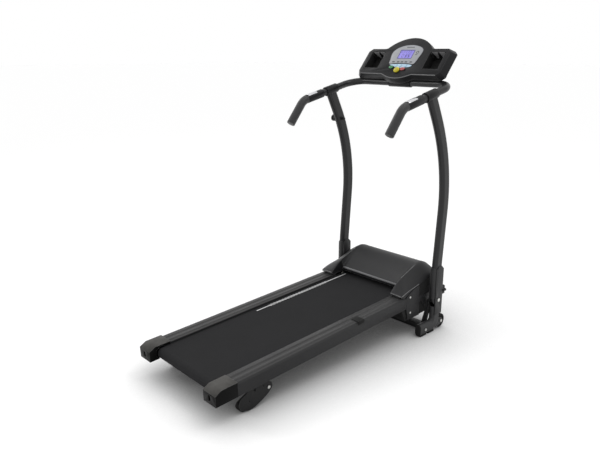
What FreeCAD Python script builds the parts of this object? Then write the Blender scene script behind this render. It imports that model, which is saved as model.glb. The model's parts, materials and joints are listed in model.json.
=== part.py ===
import FreeCAD, Part
import math
import os
from FreeCAD import Vector

# A folding home treadmill.  Millimetres and degrees.  X is the user's right, Y the walking direction, Z up.
# While it is built, Y = 0 is the rear face of the deck; export() moves the model to its bottom centre.
# Deck pieces are drawn level, in (x, u, w): u along the deck from its rear face, w up from the
# rails' bottom edge.
# Console pieces are drawn flat, in (x, b, n): b up the face, n out of the face.

# ================================================================ driving dimensions
# ---- walls, clearances and fasteners
plate_wall = 2.5              # folded steel sheet
shell_wall = 2.5              # moulded plastic
fit_gap = 0.3                 # between pieces that lie against each other
running_gap = 0.05            # radial, shaft in its bearing or bore
sleeve_gap = 0.1              # radial, sleeve on the handlebar
cut_over = 1.0                # how far a cutter runs past what it cuts
bolt_radius = 4.0
bolt_head_radius = 6.5
bolt_head_height = 4.5
nut_height = 4.0
pivot_bolt_radius = 5.0
pivot_head_radius = 8.0
pivot_nut_height = 2.5

# ---- deck
deck_width = 480.0            # outside of one side rail to outside of the other
deck_tilt = 3.0               # rising to the front
rail_bottom_rear = 79.0       # height of the rails' bottom edge at the rear face
rail_width = 68.0             # the strip that a foot stands on, each side
rail_height = 51.0            # bottom edge to top face
rail_corner = 6.0             # bevel along the rail's outer top edge
rib_height = 1.2
rib_width = 10.0
rib_middles = (19.0, 45.0)    # from the rail's inner edge
clip_behind_roller = 360.0    # the clip across the right rail, back from the front roller
clip_length = 36.0
clip_start = 30.0             # from the rail's inner edge
clip_proud = 3.0              # above the rail's face
clip_sheet = 1.5
clip_drop = 12.0              # down the rail's side
cap_length = 93.0             # rear end cap, along the deck
cap_proud = 3.0               # above the rail's face
cap_overhang = 1.0            # outside the rail
cap_back_height = 41.0        # where the cap's bevel starts
cap_bevel = 26.0              # length of that bevel
cap_slot_width = 10.0         # way in to the belt's tension bolt
cap_slot_below = 9.0          # slot's edges, below and above the bolt
cap_slot_above = 11.0
belt_edge_gap = 4.0           # running belt to side rail, each side
belt_thickness = 1.6
belt_drop = 8.0               # belt surface below the rail's top face
board_thickness = 15.0
board_seat = 10.0             # board's overlap on the frame's flange
board_past_cap = 3.0          # rear cap to the board's rear end
board_short = 35.0            # front roller's axis to the board's front end
flange_short = 45.0           # and to the end of the flange that it lies on
frame_inset = 3.0             # rail's outside to the steel frame's outside
frame_low_w = 2.0             # frame's bottom edge above the rail's
frame_flange = 28.5
frame_past_roller = 120.0     # frame's front end, from the front roller
rail_short = 75.0             # front roller's axis back to the rail's front end
rear_tab_u = 27.0             # folded tab that the tension bolt pulls on
rear_tab_extra = 10.0         # tab wider than the flange
tension_inset = 33.0          # tension bolt from the deck's side
cross_first_u = 150.0
cross_short = 70.0            # last cross member back from the front roller
cross_count = 4
cross_width = 24.0
cross_wall = 2.0
cross_low_w = 6.0

# ---- rollers and drive
rear_roller_u = 53.0
front_roller_u = 1060.0       # sets the deck's length
rear_roller_radius = 19.0
front_roller_radius = 21.0
roller_wall = 2.5
roller_over = 3.0             # roller longer than the belt is wide, each side
roller_room = 6.0             # round the rear roller, in the cap's wall
axle_radius = 5.0
axle_ear = 7.0                # steel left above the rear axle
bearing_width = 10.0
bearing_inset = 4.0
pulley_gap = 13.0             # roller's end to its pulley
pulley_width = 18.0
roller_pulley_radius = 30.0
motor_pulley_radius = 12.0
drive_belt_thickness = 2.5
drive_belt_margin = 1.0       # drive belt narrower than its pulleys, each side
motor_past_roller = 86.0
motor_w = -5.0
motor_radius = 36.0
motor_length = 130.0
motor_gap = 24.0              # pulley to the motor's end
motor_boss_radius = 16.0
motor_boss_length = 5.0
motor_shaft_radius = 5.0
motor_shaft_depth = 50.0      # shaft inside the motor
flywheel_radius = 26.0
flywheel_width = 8.0
flywheel_gap = 4.0
saddle_width = 12.0           # motor's saddle plates
saddle_half = 30.0
saddle_top = 12.0             # below the motor's axis

# ---- belly pan and motor cover; u values count from the front roller's axis
tray_rear = -102.0
tray_slope = 26.0             # length of the pan's sloping rear wall
tray_floor_w = -58.0
tray_rim_w = 2.0
tray_front_inset = 2.0        # pan's front wall behind the cover's
tray_front_rake = 4.0         # and how far it leans
tray_belt_low_w = -8.0        # lowest edge of the belt's way through the pan's rear wall
tray_belt_room = 6.0          # beside the belt's lower run
cover_rear = -30.0
cover_crest = 82.0
cover_crest_flat = 14.0
cover_front = 145.0
cover_inset = 4.0             # cover's side inside the deck's side
cover_lip_w = 60.0            # rear lip of the cover
cover_mouth = 20.0            # length of the belt's way under that lip
cover_knee = 10.0             # where the cover's slope changes, from the front roller
cover_side_low = 1.0          # cover's side walls end this far above the frame
shoulder_inset = 62.0         # top of the cover's shoulder, from the deck's side
panel_inset = 80.0            # edge of the sunk middle, from the deck's side
arm_tip = -100.0
arm_bend = -54.0
arm_nose = 8.0                # length of the arm's steep tip
cover_ridge_line = [(-100.0, 55.0), (-92.0, 66.0), (-49.0, 102.0), (15.0, 126.0), (82.0, 147.0),
                    (115.0, 147.0), (145.0, 136.0)]
cover_edge_line = [(-100.0, 54.0), (-53.0, 73.0), (-1.0, 82.0), (52.0, 95.0), (100.0, 110.0),
                   (145.0, 108.0)]
cover_panel_line = [(-30.0, 90.0), (82.0, 145.0), (115.0, 146.0), (145.0, 135.0)]
side_panel_front = 14.0
side_panel_proud = 0.5        # outside the deck's side
side_panel_margin = 6.0       # below the cover's edge
side_panel_slope = 10.0
side_panel_low_rear = 6.0     # lower corners above the pan's floor
side_panel_low_front = 2.0
screw_head_radius = 5.0
screw_head_height = 2.0
screw_from_rail_end = 26.0
upper_screw_w = 47.4
lower_screw_w = -24.0
control_x0 = 40.0             # control board's left edge
control_x1 = 190.0
control_rear = 36.0
control_front = 126.0
control_sheet = 6.0
sink_x0 = 60.0
sink_x1 = 110.0
sink_margin = 10.0            # heat sink in from the board's rear edge
sink_length = 60.0
capacitor_margin = 30.0       # first capacitor from the board's rear edge
component_height = 28.0       # heat sink and capacitors
capacitor_radius = 11.0
capacitor_x = 140.0
capacitor_step = 30.0

# ---- mains inlet and rocker switch, in the cover's front wall
inlet_x0 = 124.0
inlet_x1 = 148.0
inlet_w0 = 38.0
inlet_w1 = 60.0
inlet_wall = 3.0
inlet_floor = 2.0
inlet_depth = 14.0
inlet_flange = 3.0            # thickness of the frame round inlet and switch
inlet_border = 4.0
switch_x0 = 152.0             # opening that the rocker sits in
switch_x1 = 173.0
switch_border = 3.0
switch_rim = 1.5              # rocker to its frame, at its sides
switch_end_gap = 2.0          # rocker to its frame, at its ends
switch_back = 0.5             # rocker's back from the cover's wall
switch_proud = 4.5            # rocker's tips from the cover's wall
switch_pin_radius = 1.0
switch_pin_end = 1.5          # pin into the frame, each side
switch_pin_bore = 2.0
switch_throw = 8.0            # each way from level

# ---- rear feet
foot_inset = 36.0             # foot's middle from the deck's side
foot_pivot_y = 223.0
foot_pivot_z = 60.0
foot_drop = 25.0              # below level, pivot to tip
foot_pad_radius = 16.0
foot_half_gap = 12.0          # half the space between the foot's two cheeks
foot_cheek = 3.0
foot_cheek_inset = 1.5        # cheek's end radius less than the rubber roller's
foot_web_start = 34.0         # from the pivot
foot_web_end = 72.0
foot_web_low = -11.0          # across the foot
foot_web_sheet = 3.0
foot_web_grip = 1.0           # web into each cheek
foot_hole_radius = 2.5
foot_upper_hole = (22.0, 5.0)   # along from the pivot, across
foot_lower_hole = (20.0, 4.0)   # along from the tip, across
hanger_half = 9.0             # ears' outside faces from the foot's middle
hanger_behind = 30.0
hanger_ahead = 26.0
hanger_tip_behind = 9.0
hanger_tip_ahead = 11.0
hanger_below = 8.0            # below the pivot

# ---- base; y values count from the deck's fold axis
hinge_past_roller = 75.0      # fold axis from the front roller, along Y
hinge_z = 122.0
fold_angle = 87.8             # deck down to deck locked upright
lug_foot = 40.0               # frame's hinge lug, half length where it leaves the frame
lug_tip = 18.0
lug_below = 14.0
post_ahead = 7.0              # uprights' line ahead of the fold axis
post_outside = 32.0           # uprights' middle outside the deck's side
tube_thick = 28.0             # flat oval tube, across
tube_deep = 52.0              # flat oval tube, fore and aft
tube_wall = 2.0
leg_bend_radius = 34.0
leg_length = 110.0            # uprights' line back to the leg's rear end
pad_height = 4.0
pad_wrap = 5.0                # pad's sides up the leg
pad_width = 24.0
pad_length = 40.0
rear_pad_ahead = 24.0         # pads' middles, ahead of the leg's rear end
front_pad_behind = 32.0       # and behind the uprights' line
plug_head = 3.0
plug_stem = 15.0
wheel_radius = 31.0
wheel_width = 16.0
wheel_ahead = 38.0            # of the uprights' line
wheel_z = 34.0
wheel_rim = 6.0
wheel_hub_radius = 11.0
wheel_groove = 3.0
wheel_room = 3.0              # radial, wheel to leg
fork_gap = 0.5
fork_wall = 3.0
fork_radius = 13.0
fork_reach = 20.0             # axle's bore, each side of the wheel's middle
fork_top = 30.0
fork_low = 18.0
axle_head_radius = 7.0
cross_tube_behind = 30.0      # of the fold axis
cross_tube_deep = 40.0
cross_tube_high = 22.0
cross_tube_wall = 2.0
tower_gap = 3.0               # tower to the deck's side
tower_wall = 5.0
tower_half = 18.0             # about the fold axis
tower_top = 16.0
tower_front_low = 14.0
tower_rear_low = 20.0
hinge_washer_radius = 8.0
washer_gap = 0.1

# ---- uprights and their brackets
upright_pivot_z = 145.0
upright_lean = 4.0            # forward, middle stretch
upright_back = 27.0           # back, upper stretch
upright_low_bend_z = 300.0
upright_low_radius = 600.0
upright_high_bend_z = 739.0
upright_high_radius = 750.0
bracket_top_z = 297.0
bracket_bottom_z = 78.0
bracket_wall = 3.0
bracket_back = 20.0           # cheeks' rear edge behind the uprights' line
bracket_corner = 14.0
knob_z = 180.0
knob_stud_radius = 4.0
knob_core_radius = 17.0
knob_lobe_radius = 6.5
knob_lobe_circle = 16.0
knob_lobes = 6
knob_depth = 19.0
knob_stand = 2.0              # knob's back face off the bracket

# ---- lock pin on the left upright
lock_pin_z = 887.0
lock_pin_radius = 5.0
lock_hole_gap = 1.0           # radial
lock_tip_gap = 2.0            # parked pin to the deck's side
lock_travel = 9.0             # how far the pin is pushed in
lock_bush_radius = 8.0
lock_bush_out = 6.0           # bush outside the upright
lock_bush_in = 4.0            # bush inside it
lock_knob_radius = 15.0
lock_knob_length = 18.0
lock_knob_waist = 3.0

# ---- handlebar
bar_radius = 15.0
bar_inset = 3.0               # handlebar's side inside the uprights' middle
bar_ahead = 44.0              # crossbar ahead of the uprights' line
bar_z = 1054.0                # crossbar, behind the console
bar_slope = 13.0              # side stretch
handle_reach = 324.0          # crossbar back to the grip's bend
handle_drop = 52.0            # below level, gripping end
handle_length = 116.0         # bend to the end of the tube
handle_bend_radius = 60.0
corner_bend_radius = 75.0
grip_wall = 3.0
grip_past_bend = 46.0
grip_end = 4.0
sensor_start = 52.0           # from the bend
sensor_length = 64.0
sensor_wall = 3.6
plate_margin = 5.0            # metal plate in from the sensor's ends
sensor_plate_sheet = 1.0
plate_half_width = 13.0
plate_low = 4.0               # lowest edge above the tube's axis
collar_wall = 5.0
collar_half = 34.0
collar_post_gap = 0.2         # collar to the upright
collar_post_length = 60.0

# ---- console
console_tilt = 50.0           # the face that the user reads, from level
console_above_bar = 80.0      # middle of the face above the crossbar
console_half = 217.0          # half width of the face
console_bulge = 17.0          # how much wider the sides are behind the face
console_corner = 16.0
edge_share = 0.4              # how much of the bulge shows above and below
console_low = -57.0           # face outline, up the slope from its middle
console_top = 78.0
dome_half = 120.0
dome_top = 137.0
pod_half = 77.0
pod_low = -78.0
front_shell_depth = 28.0
console_depth = 62.0          # front face to back cover
back_low = -38.0              # lowest edge of the back cover
back_rim_inset = 1.0          # its rim inside the front moulding's
back_taper = 12.0             # its rear face smaller than the front face
back_drop = 30.0              # its dome falls this far behind the face's
back_wing_drop = 9.0          # and its wings this far
back_closing = 2.0            # strip that closes the front moulding's lower edge
neck_half = 57.0
neck_wall = 4.0
neck_depth = 15.0
cup_inner_x = 119.0
cup_outer_x = 196.0
cup_top_x = 194.0
cup_low_b = -26.0
cup_high_b = 62.0
cup_depth = 48.0
cup_wall = 2.0
screen_half = 35.0
screen_low = 27.0
screen_high = 68.0
screen_depth = 5.0
screen_proud = 0.6
plate_low_half = 63.0         # instrument plate: lower edge
plate_high_half = 77.0        # where its arc starts
plate_arc_b = 58.0
plate_top_b = 96.0
instrument_sheet = 1.2
instrument_gap = 0.1
board_top_depth = 7.0         # circuit board below the face
board_sheet = 2.0
board_reach = 70.0
board_low_b = -44.0
board_high_b = 90.0
board_post_radius = 4.0
board_post_inset = 6.0
key_places = {"start": (-43.0, -23.0), "slower": (-22.0, -13.0), "mode": (3.0, -12.0),
              "faster": (28.0, -13.0), "stop": (22.0, -31.0)}
key_radius = 6.5
key_gap = 0.4                 # radial, in the face
key_proud = 2.2
key_flange = 1.0              # radial, behind the face
key_flange_thick = 1.0
key_flange_gap = 0.2
key_stem_radius = 2.0
key_travel = 1.5
key_rest_gap = 0.4            # pressed key to the board
safety_place = (-4.0, -38.0)
safety_radius = 13.0
safety_height = 8.0
safety_slot_radius = 6.0
safety_depth = 5.0

X_AXIS = Vector(1, 0, 0)
Y_AXIS = Vector(0, 1, 0)
Z_AXIS = Vector(0, 0, 1)
ORIGIN = Vector(0, 0, 0)
SIDES = {"left": -1.0, "right": 1.0}

# ================================================================ worked out from those
# ---- deck
half = deck_width / 2
rail_inner = half - rail_width
belt_half = rail_inner - belt_edge_gap
belt_top_w = rail_height - belt_drop
board_top_w = belt_top_w - belt_thickness
rear_roller_w = board_top_w - rear_roller_radius
front_roller_w = board_top_w - front_roller_radius
frame_outer = half - frame_inset
frame_inner = frame_outer - plate_wall
frame_top_w = board_top_w - board_thickness
frame_end_u = front_roller_u + frame_past_roller
flange_x = frame_inner - frame_flange
board_half = flange_x + board_seat
board_start_u = cap_length + board_past_cap
rail_end_u = front_roller_u - rail_short
clip_u = front_roller_u - clip_behind_roller
tension_x = half - tension_inset
ear_top_w = rear_roller_w + axle_radius + axle_ear
bolt_bore = bolt_radius + running_gap
cross_step = (front_roller_u - cross_short - cross_first_u) / (cross_count - 1)

# ---- rollers, drive and their covers
roller_half = belt_half + roller_over
pulley_x = roller_half + pulley_gap
pulley_end = pulley_x + pulley_width
motor_left = pulley_x - motor_gap
motor_u = front_roller_u + motor_past_roller
tray_half = frame_inner - fit_gap
tray_rear_u = front_roller_u + tray_rear
tray_inside_w = tray_floor_w + shell_wall
cover_rear_u = front_roller_u + cover_rear
cover_knee_u = front_roller_u + cover_knee
cover_crest_u = front_roller_u + cover_crest
cover_front_u = front_roller_u + cover_front
cover_half = half - cover_inset
cover_low_w = frame_top_w + cover_side_low
shoulder_x = half - shoulder_inset
panel_x = half - panel_inset
arm_tip_u = front_roller_u + arm_tip
arm_bend_u = front_roller_u + arm_bend
arm_low_w = rail_height + rib_height + fit_gap
side_panel_front_u = front_roller_u + side_panel_front
side_panel_x = half + side_panel_proud
inlet_middle_w = (inlet_w0 + inlet_w1) / 2
inlet_face_u = cover_front_u + inlet_flange

# ---- feet and base
foot_x = half - foot_inset
foot_length = (foot_pivot_z - foot_pad_radius) / math.sin(math.radians(foot_drop))
foot_outer = foot_half_gap + foot_cheek
hinge_y = front_roller_u + hinge_past_roller
post_y = hinge_y + post_ahead
post_x = half + post_outside
tower_x = half + tower_gap
tower_outer = tower_x + tower_wall
leg_rear_y = post_y - leg_length
leg_z = pad_height + tube_deep / 2
leg_top_z = upright_pivot_z - tube_deep / 2 - bracket_wall
leg_thick = tube_thick + 2 * fit_gap
wheel_y = post_y + wheel_ahead
cross_tube_y = hinge_y - cross_tube_behind
fork_half = wheel_width / 2 + fork_gap
bracket_inside = tube_thick / 2 + fit_gap
bracket_outside = bracket_inside + bracket_wall
web_y = post_y + tube_deep / 2 + fit_gap

# ---- handlebar and console
bar_x = post_x - bar_inset
bar_y = post_y + bar_ahead
bar_run = Vector(0, math.cos(math.radians(bar_slope)), math.sin(math.radians(bar_slope)))
sleeve_bore = bar_radius + sleeve_gap
console_z = bar_z + console_above_bar
board_post_x = board_reach - board_post_inset
board_post_b = (board_low_b + board_post_inset, board_high_b - board_post_inset)


# ================================================================ helpers
def box(x0, x1, y0, y1, z0, z1):
    return Part.makeBox(x1 - x0, y1 - y0, z1 - z0, Vector(x0, y0, z0))


def cyl(radius, start, direction, length):
    return Part.makeCylinder(radius, length, start, direction)


def ring(outer, inner, start, direction, length):
    return cyl(outer, start, direction, length).cut(cyl(inner, start, direction, length))


def across(radius, middle_x, y, z, half_length):
    """A cylinder along X, as long each side of middle_x."""
    return cyl(radius, Vector(middle_x - half_length, y, z), X_AXIS, 2 * half_length)


def prism_x(outline, x0, x1):
    """A (y, z) outline carried from x0 to x1."""
    points = [Vector(x0, y, z) for y, z in outline]
    face = Part.Face(Part.makePolygon(points + points[:1]))
    return face.extrude(Vector(x1 - x0, 0, 0))


def prism_y(outline, y0, y1):
    """An (x, z) outline carried from y0 to y1."""
    points = [Vector(x, y0, z) for x, z in outline]
    face = Part.Face(Part.makePolygon(points + points[:1]))
    return face.extrude(Vector(0, y1 - y0, 0))


def on_side(make, side):
    """make() draws the right-hand piece; the left one is its mirror image."""
    shape = make()
    return shape if side > 0 else shape.mirror(ORIGIN, X_AXIS)


def both(make):
    return [on_side(make, side) for side in SIDES.values()]


def tilt_deck(shape):
    """Stands a deck piece, drawn level, in its real place."""
    turned = shape.copy()
    turned.rotate(ORIGIN, X_AXIS, deck_tilt)
    turned.translate(Z_AXIS * rail_bottom_rear)
    return turned


def to_deck(y, z):
    """The deck's own (u, w) of a point of the side view."""
    angle = math.radians(deck_tilt)
    rise = z - rail_bottom_rear
    return y * math.cos(angle) + rise * math.sin(angle), rise * math.cos(angle) - y * math.sin(angle)


def smooth_path(corners, radii):
    """Straight runs joined by tangent arcs; radii[i] belongs to corners[i + 1]."""
    edges = []
    start = corners[0]
    for corner, after, radius in zip(corners[1:-1], corners[2:], radii):
        way_in = (corner - start).normalize()
        way_out = Vector(after - corner).normalize()
        turn = way_in.getAngle(way_out)
        cut = radius * math.tan(turn / 2)
        arc_start = corner - way_in * cut
        arc_end = corner + way_out * cut
        middle = (way_out - way_in).normalize()
        arc_mid = corner + middle * (radius / math.cos(turn / 2) - radius)
        edges.append(Part.LineSegment(start, arc_start).toShape())
        edges.append(Part.Arc(arc_start, arc_mid, arc_end).toShape())
        start = arc_end
    edges.append(Part.LineSegment(start, corners[-1]).toShape())
    return Part.Wire(edges)


def sweep(path, profile):
    return path.makePipeShell([profile], True, False)


def round_tube(path, outer, inner):
    edge = path.OrderedEdges[0]
    start = edge.valueAt(edge.FirstParameter)
    way = edge.tangentAt(edge.FirstParameter)
    solid = sweep(path, Part.Wire(Part.makeCircle(outer, start, way)))
    return solid.cut(sweep(path, Part.Wire(Part.makeCircle(inner, start, way))))


def oval_wire(centre, thick, deep, along):
    """A flat oval, `thick` across X, its long side square to `along`, in the plane through centre."""
    r = thick / 2
    reach = deep / 2 - r
    fore = along.cross(X_AXIS).normalize()
    out = X_AXIS * r
    tip = centre + fore * reach
    tail = centre - fore * reach
    return Part.Wire([
        Part.Arc(tip + out, tip + fore * r, tip - out).toShape(),
        Part.LineSegment(tip - out, tail - out).toShape(),
        Part.Arc(tail - out, tail - fore * r, tail + out).toShape(),
        Part.LineSegment(tail + out, tip + out).toShape(),
    ])


def oval_tube(path, centre, along, thick=tube_thick):
    outer = sweep(path, oval_wire(centre, thick, tube_deep, along))
    inner = sweep(path, oval_wire(centre, thick - 2 * tube_wall, tube_deep - 2 * tube_wall, along))
    return outer.cut(inner)


def loop_round(rear, front, x0, x1):
    """A solid with two straight runs round two circles, each (u, w, radius), from x0 to x1."""
    rear_u, rear_w, rear_radius = rear
    front_u, front_w, front_radius = front
    run = math.hypot(front_u - rear_u, front_w - rear_w)
    lean = math.atan2(front_w - rear_w, front_u - rear_u)
    spread = math.acos((rear_radius - front_radius) / run)

    def rim(circle, angle):
        u, w, radius = circle
        return Vector(x0, u + radius * math.cos(lean + angle), w + radius * math.sin(lean + angle))

    wire = Part.Wire([
        Part.LineSegment(rim(rear, spread), rim(front, spread)).toShape(),
        Part.Arc(rim(front, spread), rim(front, 0), rim(front, -spread)).toShape(),
        Part.LineSegment(rim(front, -spread), rim(rear, -spread)).toShape(),
        Part.Arc(rim(rear, -spread), rim(rear, math.pi), rim(rear, spread)).toShape(),
    ])
    return Part.Face(wire).extrude(Vector(x1 - x0, 0, 0))


def bolt(under_head, way, length, radius=bolt_radius, head=bolt_head_radius):
    """A bolt whose shank runs along `way` from under its head."""
    shank = cyl(radius, under_head, way, length)
    return shank.fuse(cyl(head, under_head - way * bolt_head_height, way, bolt_head_height))


hinge_u, hinge_w = to_deck(hinge_y, hinge_z)
nodes = {}


def add(name, *shapes):
    nodes[name] = list(shapes)


def add_deck(name, *shapes):
    add(name, *[tilt_deck(shape) for shape in shapes])


# ================================================================ deck: frame, board, belt and rails
def side_frame():
    """A folded channel, open to the inside, with the hinge lug, the axle's ear and the bolt's tab."""
    frame_top = frame_top_w - plate_wall
    low_top = frame_low_w + plate_wall
    flange_end_u = front_roller_u - flange_short
    web = box(frame_inner, frame_outer, rear_tab_u, frame_end_u, frame_low_w, frame_top_w)
    top = box(flange_x, frame_inner, board_start_u, flange_end_u, frame_top, frame_top_w)
    low = box(flange_x, frame_inner, rear_tab_u, frame_end_u, frame_low_w, low_top)
    tab = box(flange_x - rear_tab_extra, frame_inner, rear_tab_u, rear_tab_u + plate_wall, low_top, ear_top_w)
    lug_tip_w = hinge_w - lug_below
    lug_base_w = frame_low_w + cut_over
    lug_line = [(hinge_u - lug_foot, lug_base_w), (hinge_u - lug_tip, lug_tip_w),
                (hinge_u + lug_tip, lug_tip_w), (hinge_u + lug_foot, lug_base_w)]
    lug = prism_x(lug_line, frame_inner, frame_outer)
    ear_end_u = rear_roller_u + axle_radius + axle_ear
    ear = box(frame_inner, frame_outer, rear_tab_u, ear_end_u, frame_low_w, ear_top_w)
    shape = web.fuse([top, low, tab, lug, ear]).removeSplitter()
    for radius, u, w in ((axle_radius, rear_roller_u, rear_roller_w),
                         (axle_radius, front_roller_u, front_roller_w), (bolt_bore, hinge_u, hinge_w)):
        shape = shape.cut(across(radius, frame_inner, u, w, plate_wall + cut_over))
    tab_hole = Vector(tension_x, rear_tab_u - cut_over, rear_roller_w)
    return shape.cut(cyl(bolt_radius, tab_hole, Y_AXIS, plate_wall + 2 * cut_over))


def lock_hole_cutter():
    """Clears the left side frame and rail where the lock pin goes in once the deck is folded up."""
    angle = math.radians(fold_angle)
    dy = lock_pin_y - hinge_y
    dz = lock_pin_z - hinge_z
    hole_y = hinge_y + dy * math.cos(angle) - dz * math.sin(angle)
    hole_z = hinge_z + dy * math.sin(angle) + dz * math.cos(angle)
    start = Vector(-half - cut_over, *to_deck(hole_y, hole_z))
    return cyl(lock_pin_radius + lock_hole_gap, start, X_AXIS, half - frame_inner + 2 * cut_over)


def cross_member(u):
    reach = cross_width / 2
    top = frame_top_w - plate_wall
    outer = box(-frame_inner, frame_inner, u - reach, u + reach, cross_low_w, top)
    return outer.cut(box(-frame_inner, frame_inner, u - reach + cross_wall, u + reach - cross_wall,
                         cross_low_w + cross_wall, top - cross_wall))


def deck_board():
    return box(-board_half, board_half, board_start_u, front_roller_u - board_short, frame_top_w, board_top_w)


def running_belt():
    """One closed loop round both rollers."""
    def loop(grow):
        return loop_round((rear_roller_u, rear_roller_w, rear_roller_radius + grow),
                          (front_roller_u, front_roller_w, front_roller_radius + grow), -belt_half, belt_half)
    return loop(belt_thickness + fit_gap).cut(loop(fit_gap))


def side_rail():
    """The foot rail: a skirt outside the frame, a ribbed top, and a lip down to the board."""
    skirt = half - shell_wall
    under = rail_height - shell_wall
    lip_w = board_top_w + fit_gap
    inside_corner = rail_corner + shell_wall * (math.sqrt(2) - 1)
    outline = [(half, 0), (half, rail_height - rail_corner), (half - rail_corner, rail_height),
               (rail_inner, rail_height), (rail_inner, lip_w), (rail_inner + shell_wall, lip_w),
               (rail_inner + shell_wall, under), (half - inside_corner, under),
               (skirt, rail_height - inside_corner), (skirt, 0)]
    shape = prism_y(outline, cap_length, rail_end_u)
    for middle in rib_middles:
        start = rail_inner + middle - rib_width / 2
        rib = box(start, start + rib_width, cap_length, rail_end_u, under, rail_height + rib_height)
        shape = shape.fuse(rib)
    return shape.removeSplitter()


def rail_clip():
    rear, front = clip_u - clip_length / 2, clip_u + clip_length / 2
    seat = rail_height + rib_height
    plate = box(rail_inner + clip_start, half + clip_sheet, rear, front, seat, rail_height + clip_proud)
    drop = box(half, half + clip_sheet, rear, front, rail_height - clip_drop, seat)
    return plate.fuse(drop).removeSplitter()


def rear_cap():
    """The moulded end of the rail, bevelled at the back, with the slot to the tension bolt."""
    outer = half + cap_overhang
    top = rail_height + cap_proud
    end_u = cap_length - fit_gap
    profile = [(0, 0), (0, cap_back_height), (cap_bevel, top), (end_u, top), (end_u, 0)]
    shape = prism_x(profile, rail_inner, outer)
    slope = (top - cap_back_height) / cap_bevel
    drop = shell_wall * math.hypot(1, slope)
    room = [(shell_wall, -cut_over), (shell_wall, cap_back_height + shell_wall * slope - drop),
            (cap_bevel + (drop - shell_wall) / slope, top - shell_wall), (cap_length, top - shell_wall),
            (cap_length, -cut_over)]
    shape = shape.cut(prism_x(room, rail_inner + shell_wall, outer - shell_wall))
    # the inner wall stays clear of the roller and the belt
    shape = shape.cut(across(rear_roller_radius + roller_room, rail_inner, rear_roller_u, rear_roller_w,
                             shell_wall + cut_over))
    shape = shape.cut(box(rail_inner - cut_over, rail_inner + shell_wall + cut_over, rear_roller_u, cap_length,
                          -cut_over, board_top_w + fit_gap))
    slot_half = cap_slot_width / 2
    slot = box(tension_x - slot_half, tension_x + slot_half, -cut_over, shell_wall + cut_over,
               rear_roller_w - cap_slot_below, rear_roller_w + cap_slot_above)
    return shape.cut(slot)


def tension_bolt():
    """Pulls the rear roller's axle back against the frame's tab."""
    under_head = Vector(tension_x, rear_tab_u, rear_roller_w)
    return bolt(under_head, Y_AXIS, rear_roller_u - axle_radius - rear_tab_u)


# ================================================================ deck: rollers, motor and drive
def roller_shell(u, w, radius):
    return ring(radius, radius - roller_wall, Vector(-roller_half, u, w), X_AXIS, 2 * roller_half)


def front_roller():
    """The driven roller, with the ribbed pulley for the drive belt on its left end."""
    shell = roller_shell(front_roller_u, front_roller_w, front_roller_radius)
    inner = front_roller_radius - roller_wall
    start = Vector(-pulley_end, front_roller_u, front_roller_w)
    pulley = ring(roller_pulley_radius, inner, start, X_AXIS, pulley_width)
    neck = ring(front_roller_radius, inner, start, X_AXIS, pulley_end - roller_half)
    return shell.fuse([pulley, neck]).removeSplitter()


def roller_axles():
    return [across(axle_radius, 0, u, w, frame_outer)
            for u, w in ((rear_roller_u, rear_roller_w), (front_roller_u, front_roller_w))]


def roller_bearings():
    bearings = []
    for u, w, radius in ((rear_roller_u, rear_roller_w, rear_roller_radius),
                         (front_roller_u, front_roller_w, front_roller_radius)):
        seat = radius - roller_wall - running_gap
        for x in (-roller_half + bearing_inset, roller_half - bearing_inset - bearing_width):
            bearings.append(ring(seat, axle_radius, Vector(x, u, w), X_AXIS, bearing_width))
    return bearings


def motor_body():
    can = cyl(motor_radius, Vector(-motor_left, motor_u, motor_w), X_AXIS, motor_length)
    boss_start = Vector(-motor_left - motor_boss_length, motor_u, motor_w)
    boss = cyl(motor_boss_radius, boss_start, X_AXIS, motor_boss_length)
    bore_length = motor_boss_length + motor_shaft_depth + fit_gap + cut_over
    bore = cyl(motor_shaft_radius + running_gap, boss_start - X_AXIS * cut_over, X_AXIS, bore_length)
    return can.fuse(boss).cut(bore)


def motor_shaft():
    """Shaft, small ribbed pulley and flywheel in one turning piece."""
    start = Vector(-pulley_end, motor_u, motor_w)
    shaft = cyl(motor_shaft_radius, start, X_AXIS, pulley_end - motor_left + motor_shaft_depth)
    pulley = cyl(motor_pulley_radius, start, X_AXIS, pulley_width)
    wheel = cyl(flywheel_radius, start + X_AXIS * (pulley_width + flywheel_gap), X_AXIS, flywheel_width)
    return shaft.fuse([pulley, wheel]).removeSplitter()


def drive_belt():
    """Ribbed belt from the motor's pulley to the front roller's."""
    def loop(grow):
        return loop_round((front_roller_u, front_roller_w, roller_pulley_radius + grow),
                          (motor_u, motor_w, motor_pulley_radius + grow),
                          -pulley_end + drive_belt_margin, -pulley_x - drive_belt_margin)
    return loop(drive_belt_thickness + fit_gap).cut(loop(fit_gap))


def motor_bracket():
    """A saddle on the pan's floor under each end of the motor."""
    can = cyl(motor_radius, Vector(-motor_left, motor_u, motor_w), X_AXIS, motor_length)
    return [box(x, x + saddle_width, motor_u - saddle_half, motor_u + saddle_half, tray_inside_w,
                motor_w - saddle_top).cut(can)
            for x in (saddle_width - motor_left, motor_length - 2 * saddle_width - motor_left)]


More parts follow.
